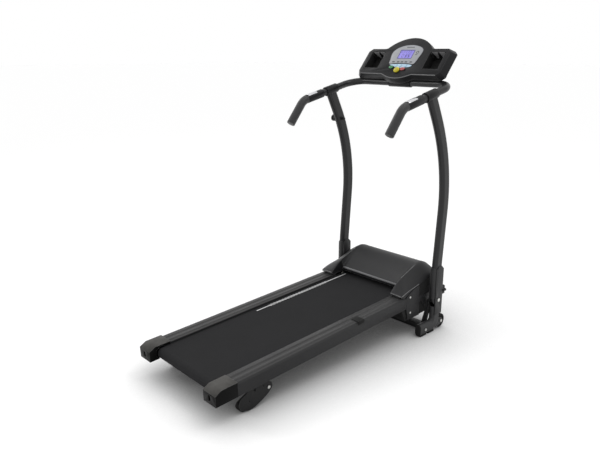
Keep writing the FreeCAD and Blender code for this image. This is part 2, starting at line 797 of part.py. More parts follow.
# ================================================================ deck: belly pan and motor cover
def motor_tray():
    """The belly pan: a floor with a sloping rear wall, side walls and a front wall."""
    front_u = cover_front_u - tray_front_inset
    outer = [(tray_rear_u, tray_rim_w), (tray_rear_u + tray_slope, tray_floor_w),
             (front_u - tray_front_rake, tray_floor_w), (front_u, tray_rim_w)]
    over_rim = tray_rim_w + cut_over
    inner = [(tray_rear_u + shell_wall, over_rim), (tray_rear_u + tray_slope + shell_wall, tray_inside_w),
             (front_u - tray_front_rake - shell_wall, tray_inside_w), (front_u - shell_wall, over_rim)]
    shape = prism_x(outer, -tray_half, tray_half)
    shape = shape.cut(prism_x(inner, shell_wall - tray_half, tray_half - shell_wall))
    belt_way = belt_half + tray_belt_room
    return shape.cut(box(-belt_way, belt_way, tray_rear_u - cut_over, tray_rear_u + tray_slope + shell_wall,
                         tray_belt_low_w, over_rim))


def cover_height(line, u):
    """Height of one of the cover's lines, straight between its points."""
    past_roller = u - front_roller_u
    for (u0, w0), (u1, w1) in zip(line, line[1:]):
        if past_roller <= u1:
            return w0 + (w1 - w0) * (past_roller - u0) / (u1 - u0)
    return line[-1][1]


def cover_section(u, inset):
    """Cross-section of the motor cover: sunk middle, sloping shoulders, upright sides."""
    low = cover_low_w - (cut_over if inset else 0)
    right = [(panel_x, cover_height(cover_panel_line, u) - inset),
             (shoulder_x, cover_height(cover_ridge_line, u) - inset),
             (cover_half - inset, cover_height(cover_edge_line, u) - inset), (cover_half - inset, low)]
    points = [(-x, w) for x, w in reversed(right)] + right
    return Part.makePolygon([Vector(x, u, w) for x, w in points + points[:1]])


def motor_cover():
    """The hood: a centre that slopes up from the belt, and an arm back along each rail."""
    middle = [cover_knee_u, cover_crest_u, cover_crest_u + cover_crest_flat]
    body = Part.makeLoft([cover_section(u, 0) for u in [cover_rear_u, *middle, cover_front_u]], True, True)
    inside = [cover_rear_u + shell_wall, *middle, cover_front_u - shell_wall]
    body = body.cut(Part.makeLoft([cover_section(u, shell_wall) for u in inside], True, True))
    below = cover_low_w - 2 * cut_over
    body = body.cut(box(-rail_inner, rail_inner, cover_rear_u - cut_over, cover_rear_u + cover_mouth, below,
                        cover_lip_w))
    edge_w = cover_height(cover_edge_line, cover_rear_u) - shell_wall
    for way_in in both(lambda: box(rail_inner + shell_wall, cover_half - shell_wall, cover_rear_u - cut_over,
                                   cover_rear_u + shell_wall + cut_over, below, edge_w)):
        body = body.cut(way_in)
    apron = box(-tray_half, tray_half, cover_front_u - shell_wall, cover_front_u, tray_rim_w + fit_gap,
                cover_low_w)
    return body.fuse(both(cover_arm) + [apron]).removeSplitter()


def arm_section(u, inset):
    low = arm_low_w - (cut_over if inset else 0)
    inner_x = rail_inner + inset
    outer_x = cover_half - inset
    points = [(inner_x, low), (inner_x, cover_height(cover_ridge_line, u) - inset),
              (outer_x, cover_height(cover_edge_line, u) - inset), (outer_x, low)]
    return Part.makePolygon([Vector(x, u, w) for x, w in points + points[:1]])


def cover_arm():
    nose_u = arm_tip_u + arm_nose
    outer = [arm_tip_u, nose_u, arm_bend_u, cover_rear_u + cut_over]
    inner = [arm_tip_u + shell_wall, nose_u + cut_over, arm_bend_u, cover_rear_u + 2 * cut_over]
    solid = Part.makeLoft([arm_section(u, 0) for u in outer], True, True)
    return solid.cut(Part.makeLoft([arm_section(u, shell_wall) for u in inner], True, True))


def side_panel():
    """The flat cheek between the rail's end and the leg, outside the steel frame."""
    rear_u = rail_end_u + fit_gap
    outline = [(rear_u, rail_height - cut_over), (rear_u, 0),
               (rear_u + side_panel_slope, tray_floor_w + side_panel_low_rear),
               (side_panel_front_u, tray_floor_w + side_panel_low_front),
               (side_panel_front_u, cover_height(cover_edge_line, side_panel_front_u) - side_panel_margin),
               (cover_rear_u, cover_height(cover_edge_line, cover_rear_u) - side_panel_margin)]
    return prism_x(outline, frame_outer + fit_gap, side_panel_x)


def panel_screw(w):
    under_head = Vector(side_panel_x, rail_end_u + screw_from_rail_end, w)
    return cyl(screw_head_radius, under_head, X_AXIS, screw_head_height)


def control_board():
    """The motor's drive electronics: a board with a heat sink and two capacitors."""
    rear_u = front_roller_u + control_rear
    top = tray_inside_w + control_sheet
    plate = box(control_x0, control_x1, rear_u, front_roller_u + control_front, tray_inside_w, top)
    sink_u = rear_u + sink_margin
    sink = box(sink_x0, sink_x1, sink_u, sink_u + sink_length, top, top + component_height)
    first = Vector(capacitor_x, rear_u + capacitor_margin, top)
    capacitors = [cyl(capacitor_radius, first + Y_AXIS * (i * capacitor_step), Z_AXIS, component_height)
                  for i in range(2)]
    return plate.fuse([sink] + capacitors)


# ================================================================ mains inlet and power switch
def power_inlet():
    """Mains inlet and the rocker's frame, in the cover's front wall."""
    face = cover_front_u
    back = face - inlet_depth
    front = inlet_face_u + cut_over
    frame = box(inlet_x0 - inlet_border, switch_x1 + switch_border, face, inlet_face_u,
                inlet_w0 - inlet_border, inlet_w1 + inlet_border)
    shape = frame.fuse(box(inlet_x0, inlet_x1, back, face, inlet_w0, inlet_w1))
    socket = box(inlet_x0 + inlet_wall, inlet_x1 - inlet_wall, back + inlet_floor, front,
                 inlet_w0 + inlet_wall, inlet_w1 - inlet_wall)
    window = box(switch_x0, switch_x1, face - cut_over, front, inlet_w0, inlet_w1)
    return shape.cut(socket).cut(window).cut(switch_pin(switch_pin_radius + running_gap, switch_pin_bore))


def switch_pin(radius, reach):
    """Pivot pin across the rocker, or with more radius the hole that it turns in."""
    return across(radius, (switch_x0 + switch_x1) / 2, cover_front_u + inlet_flange / 2, inlet_middle_w,
                  (switch_x1 - switch_x0) / 2 + reach)


def power_switch():
    """Rocker in the inlet's frame, lying in its off position."""
    low = inlet_w0 + switch_end_gap
    high = inlet_w1 - switch_end_gap
    back = cover_front_u + switch_back
    tips = cover_front_u + switch_proud
    outline = [(back, low), (tips, low), (inlet_face_u, inlet_middle_w), (tips, high), (back, high)]
    rocker = prism_x(outline, switch_x0 + switch_rim, switch_x1 - switch_rim)
    rocker = rocker.fuse(switch_pin(switch_pin_radius, switch_pin_end)).removeSplitter()
    rocker.rotate(Vector(0, cover_front_u + inlet_flange / 2, inlet_middle_w), X_AXIS, -switch_throw)
    return rocker


def inlet_room():
    """Opening in the cover's front wall behind the inlet and its switch."""
    return box(inlet_x0, switch_x1, cover_front_u - shell_wall - cut_over, cover_front_u + cut_over, inlet_w0,
               inlet_w1)


# ================================================================ rear feet
def foot_point(along, aside):
    """A side-view point measured from the foot's pivot towards its tip, and square to that line."""
    drop = math.radians(foot_drop)
    y = foot_pivot_y - along * math.cos(drop) - aside * math.sin(drop)
    z = foot_pivot_z - along * math.sin(drop) + aside * math.cos(drop)
    return y, z


def foot_cheek_plate(x):
    """A round-ended plate from the pivot to the tip."""
    radius = foot_pad_radius - foot_cheek_inset
    outline = [foot_point(0, radius), foot_point(foot_length, radius), foot_point(foot_length, -radius),
               foot_point(0, -radius)]
    middle = prism_x(outline, x, x + foot_cheek)
    ends = [cyl(radius, Vector(x, *foot_point(along, 0)), X_AXIS, foot_cheek) for along in (0, foot_length)]
    return middle.fuse(ends).removeSplitter()


def rear_foot():
    """Two cheeks joined by a web, with the holes of the other two heights."""
    cheeks = [foot_cheek_plate(x) for x in (foot_x - foot_outer, foot_x + foot_half_gap)]
    web_high = foot_web_low + foot_web_sheet
    web_reach = foot_half_gap + foot_web_grip
    web = prism_x([foot_point(foot_web_start, foot_web_low), foot_point(foot_web_end, foot_web_low),
                   foot_point(foot_web_end, web_high), foot_point(foot_web_start, web_high)],
                  foot_x - web_reach, foot_x + web_reach)
    shape = cheeks[0].fuse([cheeks[1], web]).removeSplitter()
    upper, lower = foot_upper_hole, foot_lower_hole
    for radius, place in ((bolt_bore, (0, 0)), (foot_hole_radius, upper),
                          (foot_hole_radius, (foot_length - lower[0], lower[1]))):
        shape = shape.cut(across(radius, foot_x, *foot_point(*place), foot_outer + cut_over))
    return shape


def rear_foot_pad():
    """The rubber roller in the foot's tip."""
    return across(foot_pad_radius, foot_x, *foot_point(foot_length, 0), foot_half_gap - fit_gap)


def foot_hanger():
    """Two ears under the side frame; drawn in deck coordinates."""
    u, w = to_deck(foot_pivot_y, foot_pivot_z)
    top = frame_low_w
    rear, front, tip = u - hanger_behind, u + hanger_ahead, w - hanger_below
    plate = box(foot_x - hanger_half, frame_inner, rear, front, top - plate_wall, top)
    outline = [(rear, top), (front, top), (u + hanger_tip_ahead, tip), (u - hanger_tip_behind, tip)]
    ears = []
    for x in (foot_x - hanger_half, foot_x + hanger_half - plate_wall):
        ear = prism_x(outline, x, x + plate_wall)
        ears.append(ear.cut(across(bolt_radius, x, u, w, plate_wall + cut_over)))
    return plate.fuse(ears).removeSplitter()


def foot_bolt():
    """Bolt and nut at the foot's pivot; drawn in deck coordinates."""
    u, w = to_deck(foot_pivot_y, foot_pivot_z)
    reach = foot_outer + fit_gap
    shank = bolt(Vector(foot_x + reach, u, w), -X_AXIS, 2 * reach)
    nut = cyl(bolt_head_radius, Vector(foot_x - reach - nut_height, u, w), X_AXIS, nut_height)
    return shank.fuse(nut).removeSplitter()


# ================================================================ base
def leg_path():
    side_view = [(post_y, leg_top_z), (post_y, leg_z), (leg_rear_y, leg_z)]
    return smooth_path([Vector(post_x, y, z) for y, z in side_view], [leg_bend_radius])


def base_leg():
    """Flat oval tube: down from the bracket and back along the floor, with the wheel's fork."""
    leg = oval_tube(leg_path(), Vector(post_x, post_y, leg_top_z), -Z_AXIS, leg_thick)
    outline = [(post_y, leg_z + fork_top), (wheel_y, wheel_z + fork_radius), (wheel_y, wheel_z - fork_radius),
               (post_y, leg_z - fork_low)]
    for x in (post_x - fork_half - fork_wall, post_x + fork_half):
        tip = cyl(fork_radius, Vector(x, wheel_y, wheel_z), X_AXIS, fork_wall)
        leg = leg.fuse([prism_x(outline, x, x + fork_wall), tip])
    leg = leg.removeSplitter().cut(across(wheel_radius + wheel_room, post_x, wheel_y, wheel_z, fork_half))
    return leg.cut(across(bolt_radius, post_x, wheel_y, wheel_z, fork_reach))


def leg_plug():
    """Closes the open rear end of the leg."""
    start = Vector(post_x, leg_rear_y - plug_head, leg_z)
    less = 2 * (tube_wall + fit_gap)
    head = Part.Face(oval_wire(start, leg_thick, tube_deep, Y_AXIS)).extrude(Y_AXIS * plug_head)
    stem = Part.Face(oval_wire(start, leg_thick - less, tube_deep - less, Y_AXIS))
    return head.fuse(stem.extrude(Y_AXIS * (plug_head + plug_stem))).removeSplitter()


def floor_pad(y):
    """A rubber pad shaped to the leg's underside."""
    leg = sweep(leg_path(), oval_wire(Vector(post_x, post_y, leg_top_z), leg_thick, tube_deep, -Z_AXIS))
    pad = box(post_x - pad_width / 2, post_x + pad_width / 2, y - pad_length / 2, y + pad_length / 2, 0,
              pad_height + pad_wrap)
    return pad.cut(leg)


def transport_wheel():
    wheel = across(wheel_radius, post_x, wheel_y, wheel_z, wheel_width / 2)
    wheel = wheel.cut(across(bolt_bore, post_x, wheel_y, wheel_z, wheel_width / 2))
    for x in (post_x - wheel_width / 2, post_x + wheel_width / 2 - wheel_groove):
        start = Vector(x, wheel_y, wheel_z)
        wheel = wheel.cut(ring(wheel_radius - wheel_rim, wheel_hub_radius, start, X_AXIS, wheel_groove))
    return wheel


def wheel_axle():
    reach = fork_half + fork_wall
    under_head = Vector(post_x + reach, wheel_y, wheel_z)
    return bolt(under_head, -X_AXIS, 2 * reach + bolt_radius, head=axle_head_radius)


def base_cross_tube():
    inner = post_x - leg_thick / 2
    rear, front = cross_tube_y - cross_tube_deep / 2, cross_tube_y + cross_tube_deep / 2
    low = leg_z - cross_tube_high
    outer = box(-inner, inner, rear, front, low, leg_z)
    return outer.cut(box(-inner - cut_over, inner + cut_over, rear + cross_tube_wall, front - cross_tube_wall,
                         low + cross_tube_wall, leg_z - cross_tube_wall))


def pivot_tower():
    """The upright plate that carries one end of the deck's fold axis."""
    rear, front = hinge_y - tower_half, hinge_y + tower_half
    foot_rear, foot_front = cross_tube_y - cross_tube_deep / 2, cross_tube_y + cross_tube_deep / 2
    top = hinge_z + tower_top
    outline = [(foot_rear, leg_z), (foot_front, leg_z), (front, hinge_z - tower_front_low), (front, top),
               (rear, top), (rear, hinge_z - tower_rear_low)]
    plate = prism_x(outline, tower_x, tower_outer)
    return plate.cut(across(bolt_radius, tower_x, hinge_y, hinge_z, tower_wall + cut_over))


def hinge_bolt():
    shank = bolt(Vector(tower_outer, hinge_y, hinge_z), -X_AXIS, tower_outer - frame_inner - washer_gap)
    washer_start = Vector(frame_outer + washer_gap, hinge_y, hinge_z)
    washer = ring(hinge_washer_radius, bolt_radius, washer_start, X_AXIS, tower_x - washer_start.x)
    return shank.fuse(washer).removeSplitter()


def upright_bracket():
    """Channel welded to the leg: a front web and two cheeks that the upright folds out of."""
    back_y = post_y - bracket_back
    front_y = web_y + bracket_wall
    shoulder_z = bracket_top_z - bracket_corner
    outline = [(back_y, bracket_bottom_z), (front_y, bracket_bottom_z), (front_y, shoulder_z),
               (front_y - bracket_corner, bracket_top_z), (back_y + bracket_corner, bracket_top_z),
               (back_y, shoulder_z)]
    block = prism_x(outline, post_x - bracket_outside, post_x + bracket_outside)
    room = box(post_x - bracket_inside, post_x + bracket_inside, back_y - cut_over, web_y,
               bracket_bottom_z - cut_over, bracket_top_z + cut_over)
    bracket = block.cut(room)
    pivot = across(pivot_bolt_radius, post_x, post_y, upright_pivot_z, bracket_outside + cut_over)
    stud_hole = cyl(knob_stud_radius + running_gap, Vector(post_x, post_y, knob_z), Y_AXIS, tube_deep)
    return bracket.cut(pivot).cut(stud_hole)


def upright_pivot_bolt():
    head = Vector(post_x + bracket_outside, post_y, upright_pivot_z)
    shank = bolt(head, -X_AXIS, 2 * bracket_outside, pivot_bolt_radius, pivot_head_radius)
    nut_start = Vector(post_x - bracket_outside - pivot_nut_height, post_y, upright_pivot_z)
    return shank.fuse(cyl(pivot_head_radius, nut_start, X_AXIS, pivot_nut_height)).removeSplitter()


def upright_knob():
    """Lobed clamping knob; its stud is screwed through the bracket's web."""
    front = web_y + bracket_wall + knob_stand
    stud = cyl(knob_stud_radius, Vector(post_x, web_y, knob_z), Y_AXIS, front - web_y)
    pieces = [cyl(knob_core_radius, Vector(post_x, front, knob_z), Y_AXIS, knob_depth)]
    for i in range(knob_lobes):
        angle = 2 * math.pi * i / knob_lobes
        centre = Vector(post_x + knob_lobe_circle * math.cos(angle), front,
                        knob_z + knob_lobe_circle * math.sin(angle))
        pieces.append(cyl(knob_lobe_radius, centre, Y_AXIS, knob_depth))
    return stud.fuse(pieces).removeSplitter()


# ================================================================ uprights and their lock pin
def upright_corners():
    """Lower bend, upper bend, and where the upper stretch meets the handlebar's centre line."""
    low = Vector(post_x, post_y, upright_low_bend_z)
    rise = upright_high_bend_z - upright_low_bend_z
    high = low + Vector(0, rise * math.tan(math.radians(upright_lean)), rise)
    back = math.tan(math.radians(upright_back))
    slope = bar_run.z / bar_run.y
    top_y = (high.y - back * (bar_z - slope * bar_y - high.z)) / (1 + back * slope)
    top_z = bar_z - slope * (bar_y - top_y)
    return low, high, Vector(post_x, top_y, top_z)


def upright_path(start):
    return smooth_path([start, *upright_corners()], [upright_low_radius, upright_high_radius])


def upright():
    start = Vector(post_x, post_y, upright_pivot_z - tube_deep / 2)
    shape = oval_tube(upright_path(start), start, Z_AXIS)
    # a round lower end lets the upright turn in its bracket
    below = box(post_x - tube_thick, post_x + tube_thick, post_y - tube_deep, post_y + tube_deep,
                start.z - cut_over, upright_pivot_z)
    round_end = across(tube_deep / 2 - fit_gap, post_x, post_y, upright_pivot_z, tube_thick + cut_over)
    shape = shape.cut(below.cut(round_end))
    corner = Vector(bar_x, bar_y, bar_z)
    shape = shape.cut(cyl(bar_radius, corner - bar_run * handle_reach, bar_run, handle_reach))
    return shape.cut(across(pivot_bolt_radius + running_gap, post_x, post_y, upright_pivot_z, tube_thick))


def upright_y_at(z):
    """Centre of the upright at a height, from its own path."""
    path = upright_path(Vector(post_x, post_y, upright_pivot_z))
    level = Part.makePlane(4 * post_y, 4 * post_y, Vector(-2 * post_y, -2 * post_y, z))
    return path.distToShape(level)[1][0][0].y


lock_pin_y = upright_y_at(lock_pin_z)


def left_upright():
    """The left upright has the lock pin's guide bush welded through it."""
    place = Vector(-post_x, lock_pin_y, lock_pin_z)
    shape = on_side(upright, SIDES["left"])
    shape = shape.cut(cyl(lock_bush_radius, place - X_AXIS * tube_thick, X_AXIS, 2 * tube_thick))
    start = place - X_AXIS * (tube_thick / 2 + lock_bush_out)
    length = lock_bush_out + tube_thick + lock_bush_in
    return shape.fuse(ring(lock_bush_radius, lock_pin_radius + running_gap, start, X_AXIS, length))


def lock_pin():
    """Pull knob and pin, parked: the tip stands just clear of the deck's side."""
    tip = Vector(-(half + lock_tip_gap), lock_pin_y, lock_pin_z)
    knob_face = Vector(-(post_x + tube_thick / 2 + lock_travel + fit_gap), lock_pin_y, lock_pin_z)
    third = lock_knob_length / 3
    pin = cyl(lock_pin_radius, tip, -X_AXIS, tip.x - knob_face.x + lock_bush_out + third)
    knob = cyl(lock_knob_radius, knob_face, -X_AXIS, lock_knob_length)
    # the knob's mouth goes over the bush when the pin is pushed in
    mouth = cyl(lock_bush_radius + fit_gap, knob_face, -X_AXIS, lock_bush_out + fit_gap)
    waist = ring(lock_knob_radius + cut_over, lock_knob_radius - lock_knob_waist, knob_face - X_AXIS * third,
                 -X_AXIS, third)
    return knob.cut(waist).cut(mouth).fuse(pin).removeSplitter()


# ================================================================ handlebar
def handle_corners():
    """End of the grip, the bend above it and the corner to the crossbar, right-hand side."""
    corner = Vector(bar_x, bar_y, bar_z)
    bend = corner - bar_run * (handle_reach / bar_run.y)
    drop = math.radians(handle_drop)
    end = bend - Vector(0, math.cos(drop), math.sin(drop)) * handle_length
    return end, bend, corner


def handlebar():
    right = handle_corners()
    left = [Vector(-point.x, point.y, point.z) for point in reversed(right)]
    radii = [handle_bend_radius, corner_bend_radius, corner_bend_radius, handle_bend_radius]
    return round_tube(smooth_path([*right, *left], radii), bar_radius, bar_radius - tube_wall)


def grip():
    """Foam sleeve round the end of the handle and its bend, closed over the tube's end."""
    end, bend, corner = handle_corners()
    path = smooth_path([end, bend, bend + bar_run * grip_past_bend], [handle_bend_radius])
    outer = bar_radius + grip_wall
    way = (end - bend).normalize()
    cap = cyl(outer, end, way, grip_end)
    return round_tube(path, outer, sleeve_bore).fuse(cap).removeSplitter()


def pulse_sensor():
    """Moulded sleeve that carries the metal plate of the hand pulse sensor."""
    end, bend, corner = handle_corners()
    return ring(bar_radius + sensor_wall, sleeve_bore, bend + bar_run * sensor_start, bar_run, sensor_length)


def sensor_plate():
    end, bend, corner = handle_corners()
    start = bend + bar_run * (sensor_start + plate_margin)
    length = sensor_length - 2 * plate_margin
    inner = bar_radius + sensor_wall
    plate = ring(inner + sensor_plate_sheet, inner, start, bar_run, length)
    keep = Part.makeBox(2 * plate_half_width, length + bar_radius, 2 * inner,
                        Vector(bar_x - plate_half_width, start.y, start.z + plate_low))
    keep.rotate(start, X_AXIS, bar_slope)
    return plate.common(keep)


def joint_cover():
    """Collar over the weld of the upright to the handlebar."""
    low, high, top = upright_corners()
    middle = Vector(bar_x, top.y, top.z)
    collar_start = middle - bar_run * collar_half
    collar = ring(bar_radius + collar_wall, sleeve_bore, collar_start, bar_run, 2 * collar_half)
    start = top + (high - top).normalize() * collar_post_length
    room = oval_wire(start, tube_thick + 2 * collar_post_gap, tube_deep + 2 * collar_post_gap, high - top)
    return collar.cut(sweep(Part.Wire([Part.LineSegment(start, top).toShape()]), room))


# ================================================================ console
def on_console(shape):
    """Stands a console piece, drawn flat, in its real place."""
    placed = shape.copy()
    placed.rotate(ORIGIN, X_AXIS, console_tilt)
    placed.translate(Vector(0, bar_y, console_z))
    return placed


def face_outline(n, grow, low=None, dome_drop=0.0, wing_drop=0.0):
    """Outline of the console: two wings, a dome above and a round chin below."""
    wide = console_half + grow
    edge = grow * edge_share
    top = console_top + edge - wing_drop
    base = console_low - edge if low is None else low
    chin = pod_low - edge if low is None else low - cut_over

    def at(x, b):
        return Vector(x, b, n)

    right = [at(dome_half, top), at(wide - console_corner, top), at(wide, top - console_corner),
             at(wide, base + console_corner), at(wide - console_corner, base), at(pod_half, base)]
    left = [Vector(-point.x, point.y, n) for point in reversed(right)]
    sides = [Part.LineSegment(a, b).toShape() for run in (right, left) for a, b in zip(run, run[1:])]
    chin_arc = Part.Arc(right[-1], at(0, chin), left[0]).toShape()
    dome_arc = Part.Arc(left[-1], at(0, dome_top + edge - dome_drop), right[0]).toShape()
    edges = len(right) - 1
    return Part.Wire(sides[:edges] + [chin_arc] + sides[edges:] + [dome_arc])


def cup_well(top_n, bottom_n, grow):
    """The cup's room, or with its wall added the well round it."""
    points = [(cup_inner_x - grow, cup_low_b - grow), (cup_outer_x + grow, cup_low_b - grow),
              (cup_top_x + grow, cup_high_b + grow), (cup_inner_x - grow, cup_high_b + grow)]
    face = Part.Face(Part.makePolygon([Vector(x, b, bottom_n) for x, b in points + points[:1]]))
    return face.extrude(Z_AXIS * (top_n - bottom_n))


def face_hole(radius, place):
    return cyl(radius, Vector(*place, -shell_wall - cut_over), Z_AXIS, shell_wall + 2 * cut_over)


def console_shell():
    """Front moulding: face, rim, the two cup wells and the posts that the circuit board is screwed to."""
    back_n = -front_shell_depth
    outer = Part.makeLoft([face_outline(0, 0), face_outline(back_n, console_bulge)], True, True)
    inner = Part.makeLoft([face_outline(-shell_wall, -shell_wall),
                           face_outline(back_n - cut_over, console_bulge - shell_wall)], True, True)
    shell = outer.cut(inner).fuse(both(lambda: cup_well(0, -cup_depth, cup_wall)))
    for room in both(lambda: cup_well(cut_over, cup_wall - cup_depth, 0)):
        shell = shell.cut(room)
    shell = shell.cut(box(-screen_half, screen_half, screen_low, screen_high, -shell_wall - cut_over,
                          cut_over))
    for place in key_places.values():
        shell = shell.cut(face_hole(key_radius + key_gap, place))
    shell = shell.cut(face_hole(safety_slot_radius, safety_place))
    post_length = board_top_depth - shell_wall - fit_gap
    posts = [cyl(board_post_radius, Vector(x, b, fit_gap - board_top_depth), Z_AXIS, post_length)
             for x in (-board_post_x, board_post_x) for b in board_post_b]
    return on_console(shell.fuse(posts).removeSplitter())


def console_back():
    """Back moulding with the neck that clamps round the crossbar."""
    top_n = -front_shell_depth - fit_gap
    rim = console_bulge - back_rim_inset
    inside_low = back_low + shell_wall
    drops = (back_drop, back_wing_drop)
    outer = Part.makeLoft([face_outline(top_n, rim, back_low),
                           face_outline(-console_depth, -back_taper, back_low, *drops)], True, True)
    inner = Part.makeLoft([face_outline(top_n + cut_over, rim - shell_wall, inside_low),
                           face_outline(shell_wall - console_depth, -back_taper - shell_wall, inside_low, *drops)],
                          True, True)
    strip = Part.Face(face_outline(top_n, rim)).extrude(-Z_AXIS * back_closing)
    wide = 2 * console_half
    strip = strip.common(box(-wide, wide, -wide, inside_low, top_n - back_closing, top_n))
    shell = outer.cut(inner).fuse(strip)
    angle = math.radians(console_tilt)
    bar_b, bar_n = -console_above_bar * math.sin(angle), -console_above_bar * math.cos(angle)
    collar = across(bar_radius + neck_wall, 0, bar_b, bar_n, neck_half)
    block = box(-neck_half, neck_half, bar_b, inside_low, bar_n - neck_depth, top_n)
    shell = shell.fuse([collar, block]).cut(across(sleeve_bore, 0, bar_b, bar_n, neck_half + cut_over))
    return on_console(shell.removeSplitter())


def console_panel():
    """Silver instrument plate on the face, open for the screen."""
    def at(x, b):
        return Vector(x, b, instrument_gap)
    low_left, low_right = at(-plate_low_half, 0), at(plate_low_half, 0)
    high_left, high_right = at(-plate_high_half, plate_arc_b), at(plate_high_half, plate_arc_b)
    wire = Part.Wire([
        Part.LineSegment(low_left, low_right).toShape(),
        Part.LineSegment(low_right, high_right).toShape(),
        Part.Arc(high_right, at(0, plate_top_b), high_left).toShape(),
        Part.LineSegment(high_left, low_left).toShape(),
    ])
    plate = Part.Face(wire).extrude(Z_AXIS * instrument_sheet)
    return on_console(plate.cut(box(-screen_half, screen_half, screen_low, screen_high, -cut_over,
                                    instrument_sheet + cut_over)))


def lcd_display():
    return on_console(box(fit_gap - screen_half, screen_half - fit_gap, screen_low + fit_gap,
                          screen_high - fit_gap, -screen_depth, screen_proud))


def console_board():
    board = box(-board_reach, board_reach, board_low_b, board_high_b, -board_top_depth - board_sheet,
                -board_top_depth)
    return on_console(board)


def key(x, b):
    """A round push button whose stem ends just above the board."""
    flange_top = -shell_wall - key_flange_gap
    cap = cyl(key_radius, Vector(x, b, flange_top), Z_AXIS, key_proud - flange_top)
    flange_start = Vector(x, b, flange_top - key_flange_thick)
    flange = cyl(key_radius + key_flange, flange_start, Z_AXIS, key_flange_thick)
    stem_low = key_travel + key_rest_gap - board_top_depth
    stem = cyl(key_stem_radius, Vector(x, b, stem_low), Z_AXIS, flange_top - stem_low)
    return on_console(cap.fuse([flange, stem]).removeSplitter())


def safety_key():
    """Round magnetic key that sits in its socket in the face."""
    body = cyl(safety_radius, Vector(*safety_place, fit_gap), Z_AXIS, safety_height)
    stem_start = Vector(*safety_place, -safety_depth)
    stem = cyl(safety_slot_radius - fit_gap, stem_start, Z_AXIS, safety_depth + cut_over)
    return on_console(body.fuse(stem).removeSplitter())


# ================================================================ assembly
def build_deck():
    left_cut = lock_hole_cutter()
    for name, side in SIDES.items():
        for node, make in (("side_frame_", side_frame), ("side_rail_", side_rail)):
            shape = on_side(make, side)
            add_deck(node + name, shape.cut(left_cut) if name == "left" else shape)
    add_deck("cross_members", *[cross_member(cross_first_u + i * cross_step) for i in range(cross_count)])
    add_deck("rear_caps", *both(rear_cap))
    add_deck("deck_board", deck_board())
    add_deck("running_belt", running_belt())
    add_deck("rail_clip", rail_clip())
    add_deck("foot_hangers", *both(foot_hanger))
    add_deck("deck_bolts", *both(tension_bolt), *both(foot_bolt))


def build_drive():
    add_deck("rear_roller", roller_shell(rear_roller_u, rear_roller_w, rear_roller_radius))
    add_deck("front_roller", front_roller())
    add_deck("roller_axles", *roller_axles())
    add_deck("roller_bearings", *roller_bearings())
    add_deck("motor_body", motor_body())
    add_deck("motor_shaft", motor_shaft())
    add_deck("drive_belt", drive_belt())
    add_deck("motor_bracket", *motor_bracket())
    add_deck("motor_tray", motor_tray())
    add_deck("motor_cover", motor_cover().cut(inlet_room()))
    add_deck("side_panels", *both(side_panel))
    screws = [both(lambda: panel_screw(w)) for w in (upper_screw_w, lower_screw_w)]
    add_deck("panel_screws", *screws[0], *screws[1])
    add_deck("control_board", control_board())
    add_deck("power_inlet", power_inlet())
    add_deck("power_switch", power_switch())


def build_feet():
    for name, side in SIDES.items():
        add("rear_foot_" + name, on_side(rear_foot, side))
        add("rear_foot_pad_" + name, on_side(rear_foot_pad, side))


def build_base():
    for name, side in SIDES.items():
        add("transport_wheel_" + name, on_side(transport_wheel, side))
        add("upright_knob_" + name, on_side(upright_knob, side))
    add("leg_plugs", *both(leg_plug))
    pad_places = (leg_rear_y + rear_pad_ahead, post_y - front_pad_behind)
    add("floor_pads", *[pad for y in pad_places for pad in both(lambda: floor_pad(y))])
    add("base_legs", *both(base_leg))
    add("upright_brackets", *both(upright_bracket))
    add("base_cross_tube", base_cross_tube())
    add("pivot_towers", *both(pivot_tower))
    add("base_bolts", *both(wheel_axle), *both(hinge_bolt), *both(upright_pivot_bolt))


def build_uprights():
    add("upright_right", upright())
    add("upright_left", left_upright())
    add("lock_pin", lock_pin())
    add("handlebar", handlebar())
    add("grips", *both(grip))
    add("pulse_sensors", *both(pulse_sensor))
    add("sensor_plates", *both(sensor_plate))
    add("joint_covers", *both(joint_cover))


def build_console():
    add("console_shell", console_shell())
    add("console_back", console_back())
    add("console_panel", console_panel())
    add("lcd_display", lcd_display())
    add("console_board", console_board())
    for name, place in key_places.items():
        add("key_" + name, key(*place))
    add("safety_key", safety_key())


def export():
    """Writes each node's STEP file, with the middle of the whole model's box at Y = 0."""
    whole = Part.makeCompound([shape for shapes in nodes.values() for shape in shapes])
    bounds = whole.optimalBoundingBox(False, False)
    shift = (bounds.YMin + bounds.YMax) / 2
    os.makedirs("parts", exist_ok=True)
    for name, shapes in nodes.items():
        piece = shapes[0].copy() if len(shapes) == 1 else Part.makeCompound(shapes)
        piece.translate(-Y_AXIS * shift)
        piece.exportStep("parts/" + name + ".step")
    print("nodes", len(nodes), "solids", len(whole.Solids), "moved back by", round(shift, 3))
    print("size", [round(length, 2) for length in (bounds.XLength, bounds.YLength, bounds.ZLength)])


build_deck()
build_drive()
build_feet()
build_base()
build_uprights()
build_console()
export()
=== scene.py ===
# %% [markdown]
# A folding home treadmill, dressed for a studio picture.
#
# The measured model comes in first as a fixed frame: every steel, plastic and rubber part already
# stands in its real place. What is left to do here is what the eye sees: rounded edges, moulded
# details, printed marks, surface finishes, light and a camera.

import json
import math

import bmesh
import bpy
from mathutils import Matrix, Vector


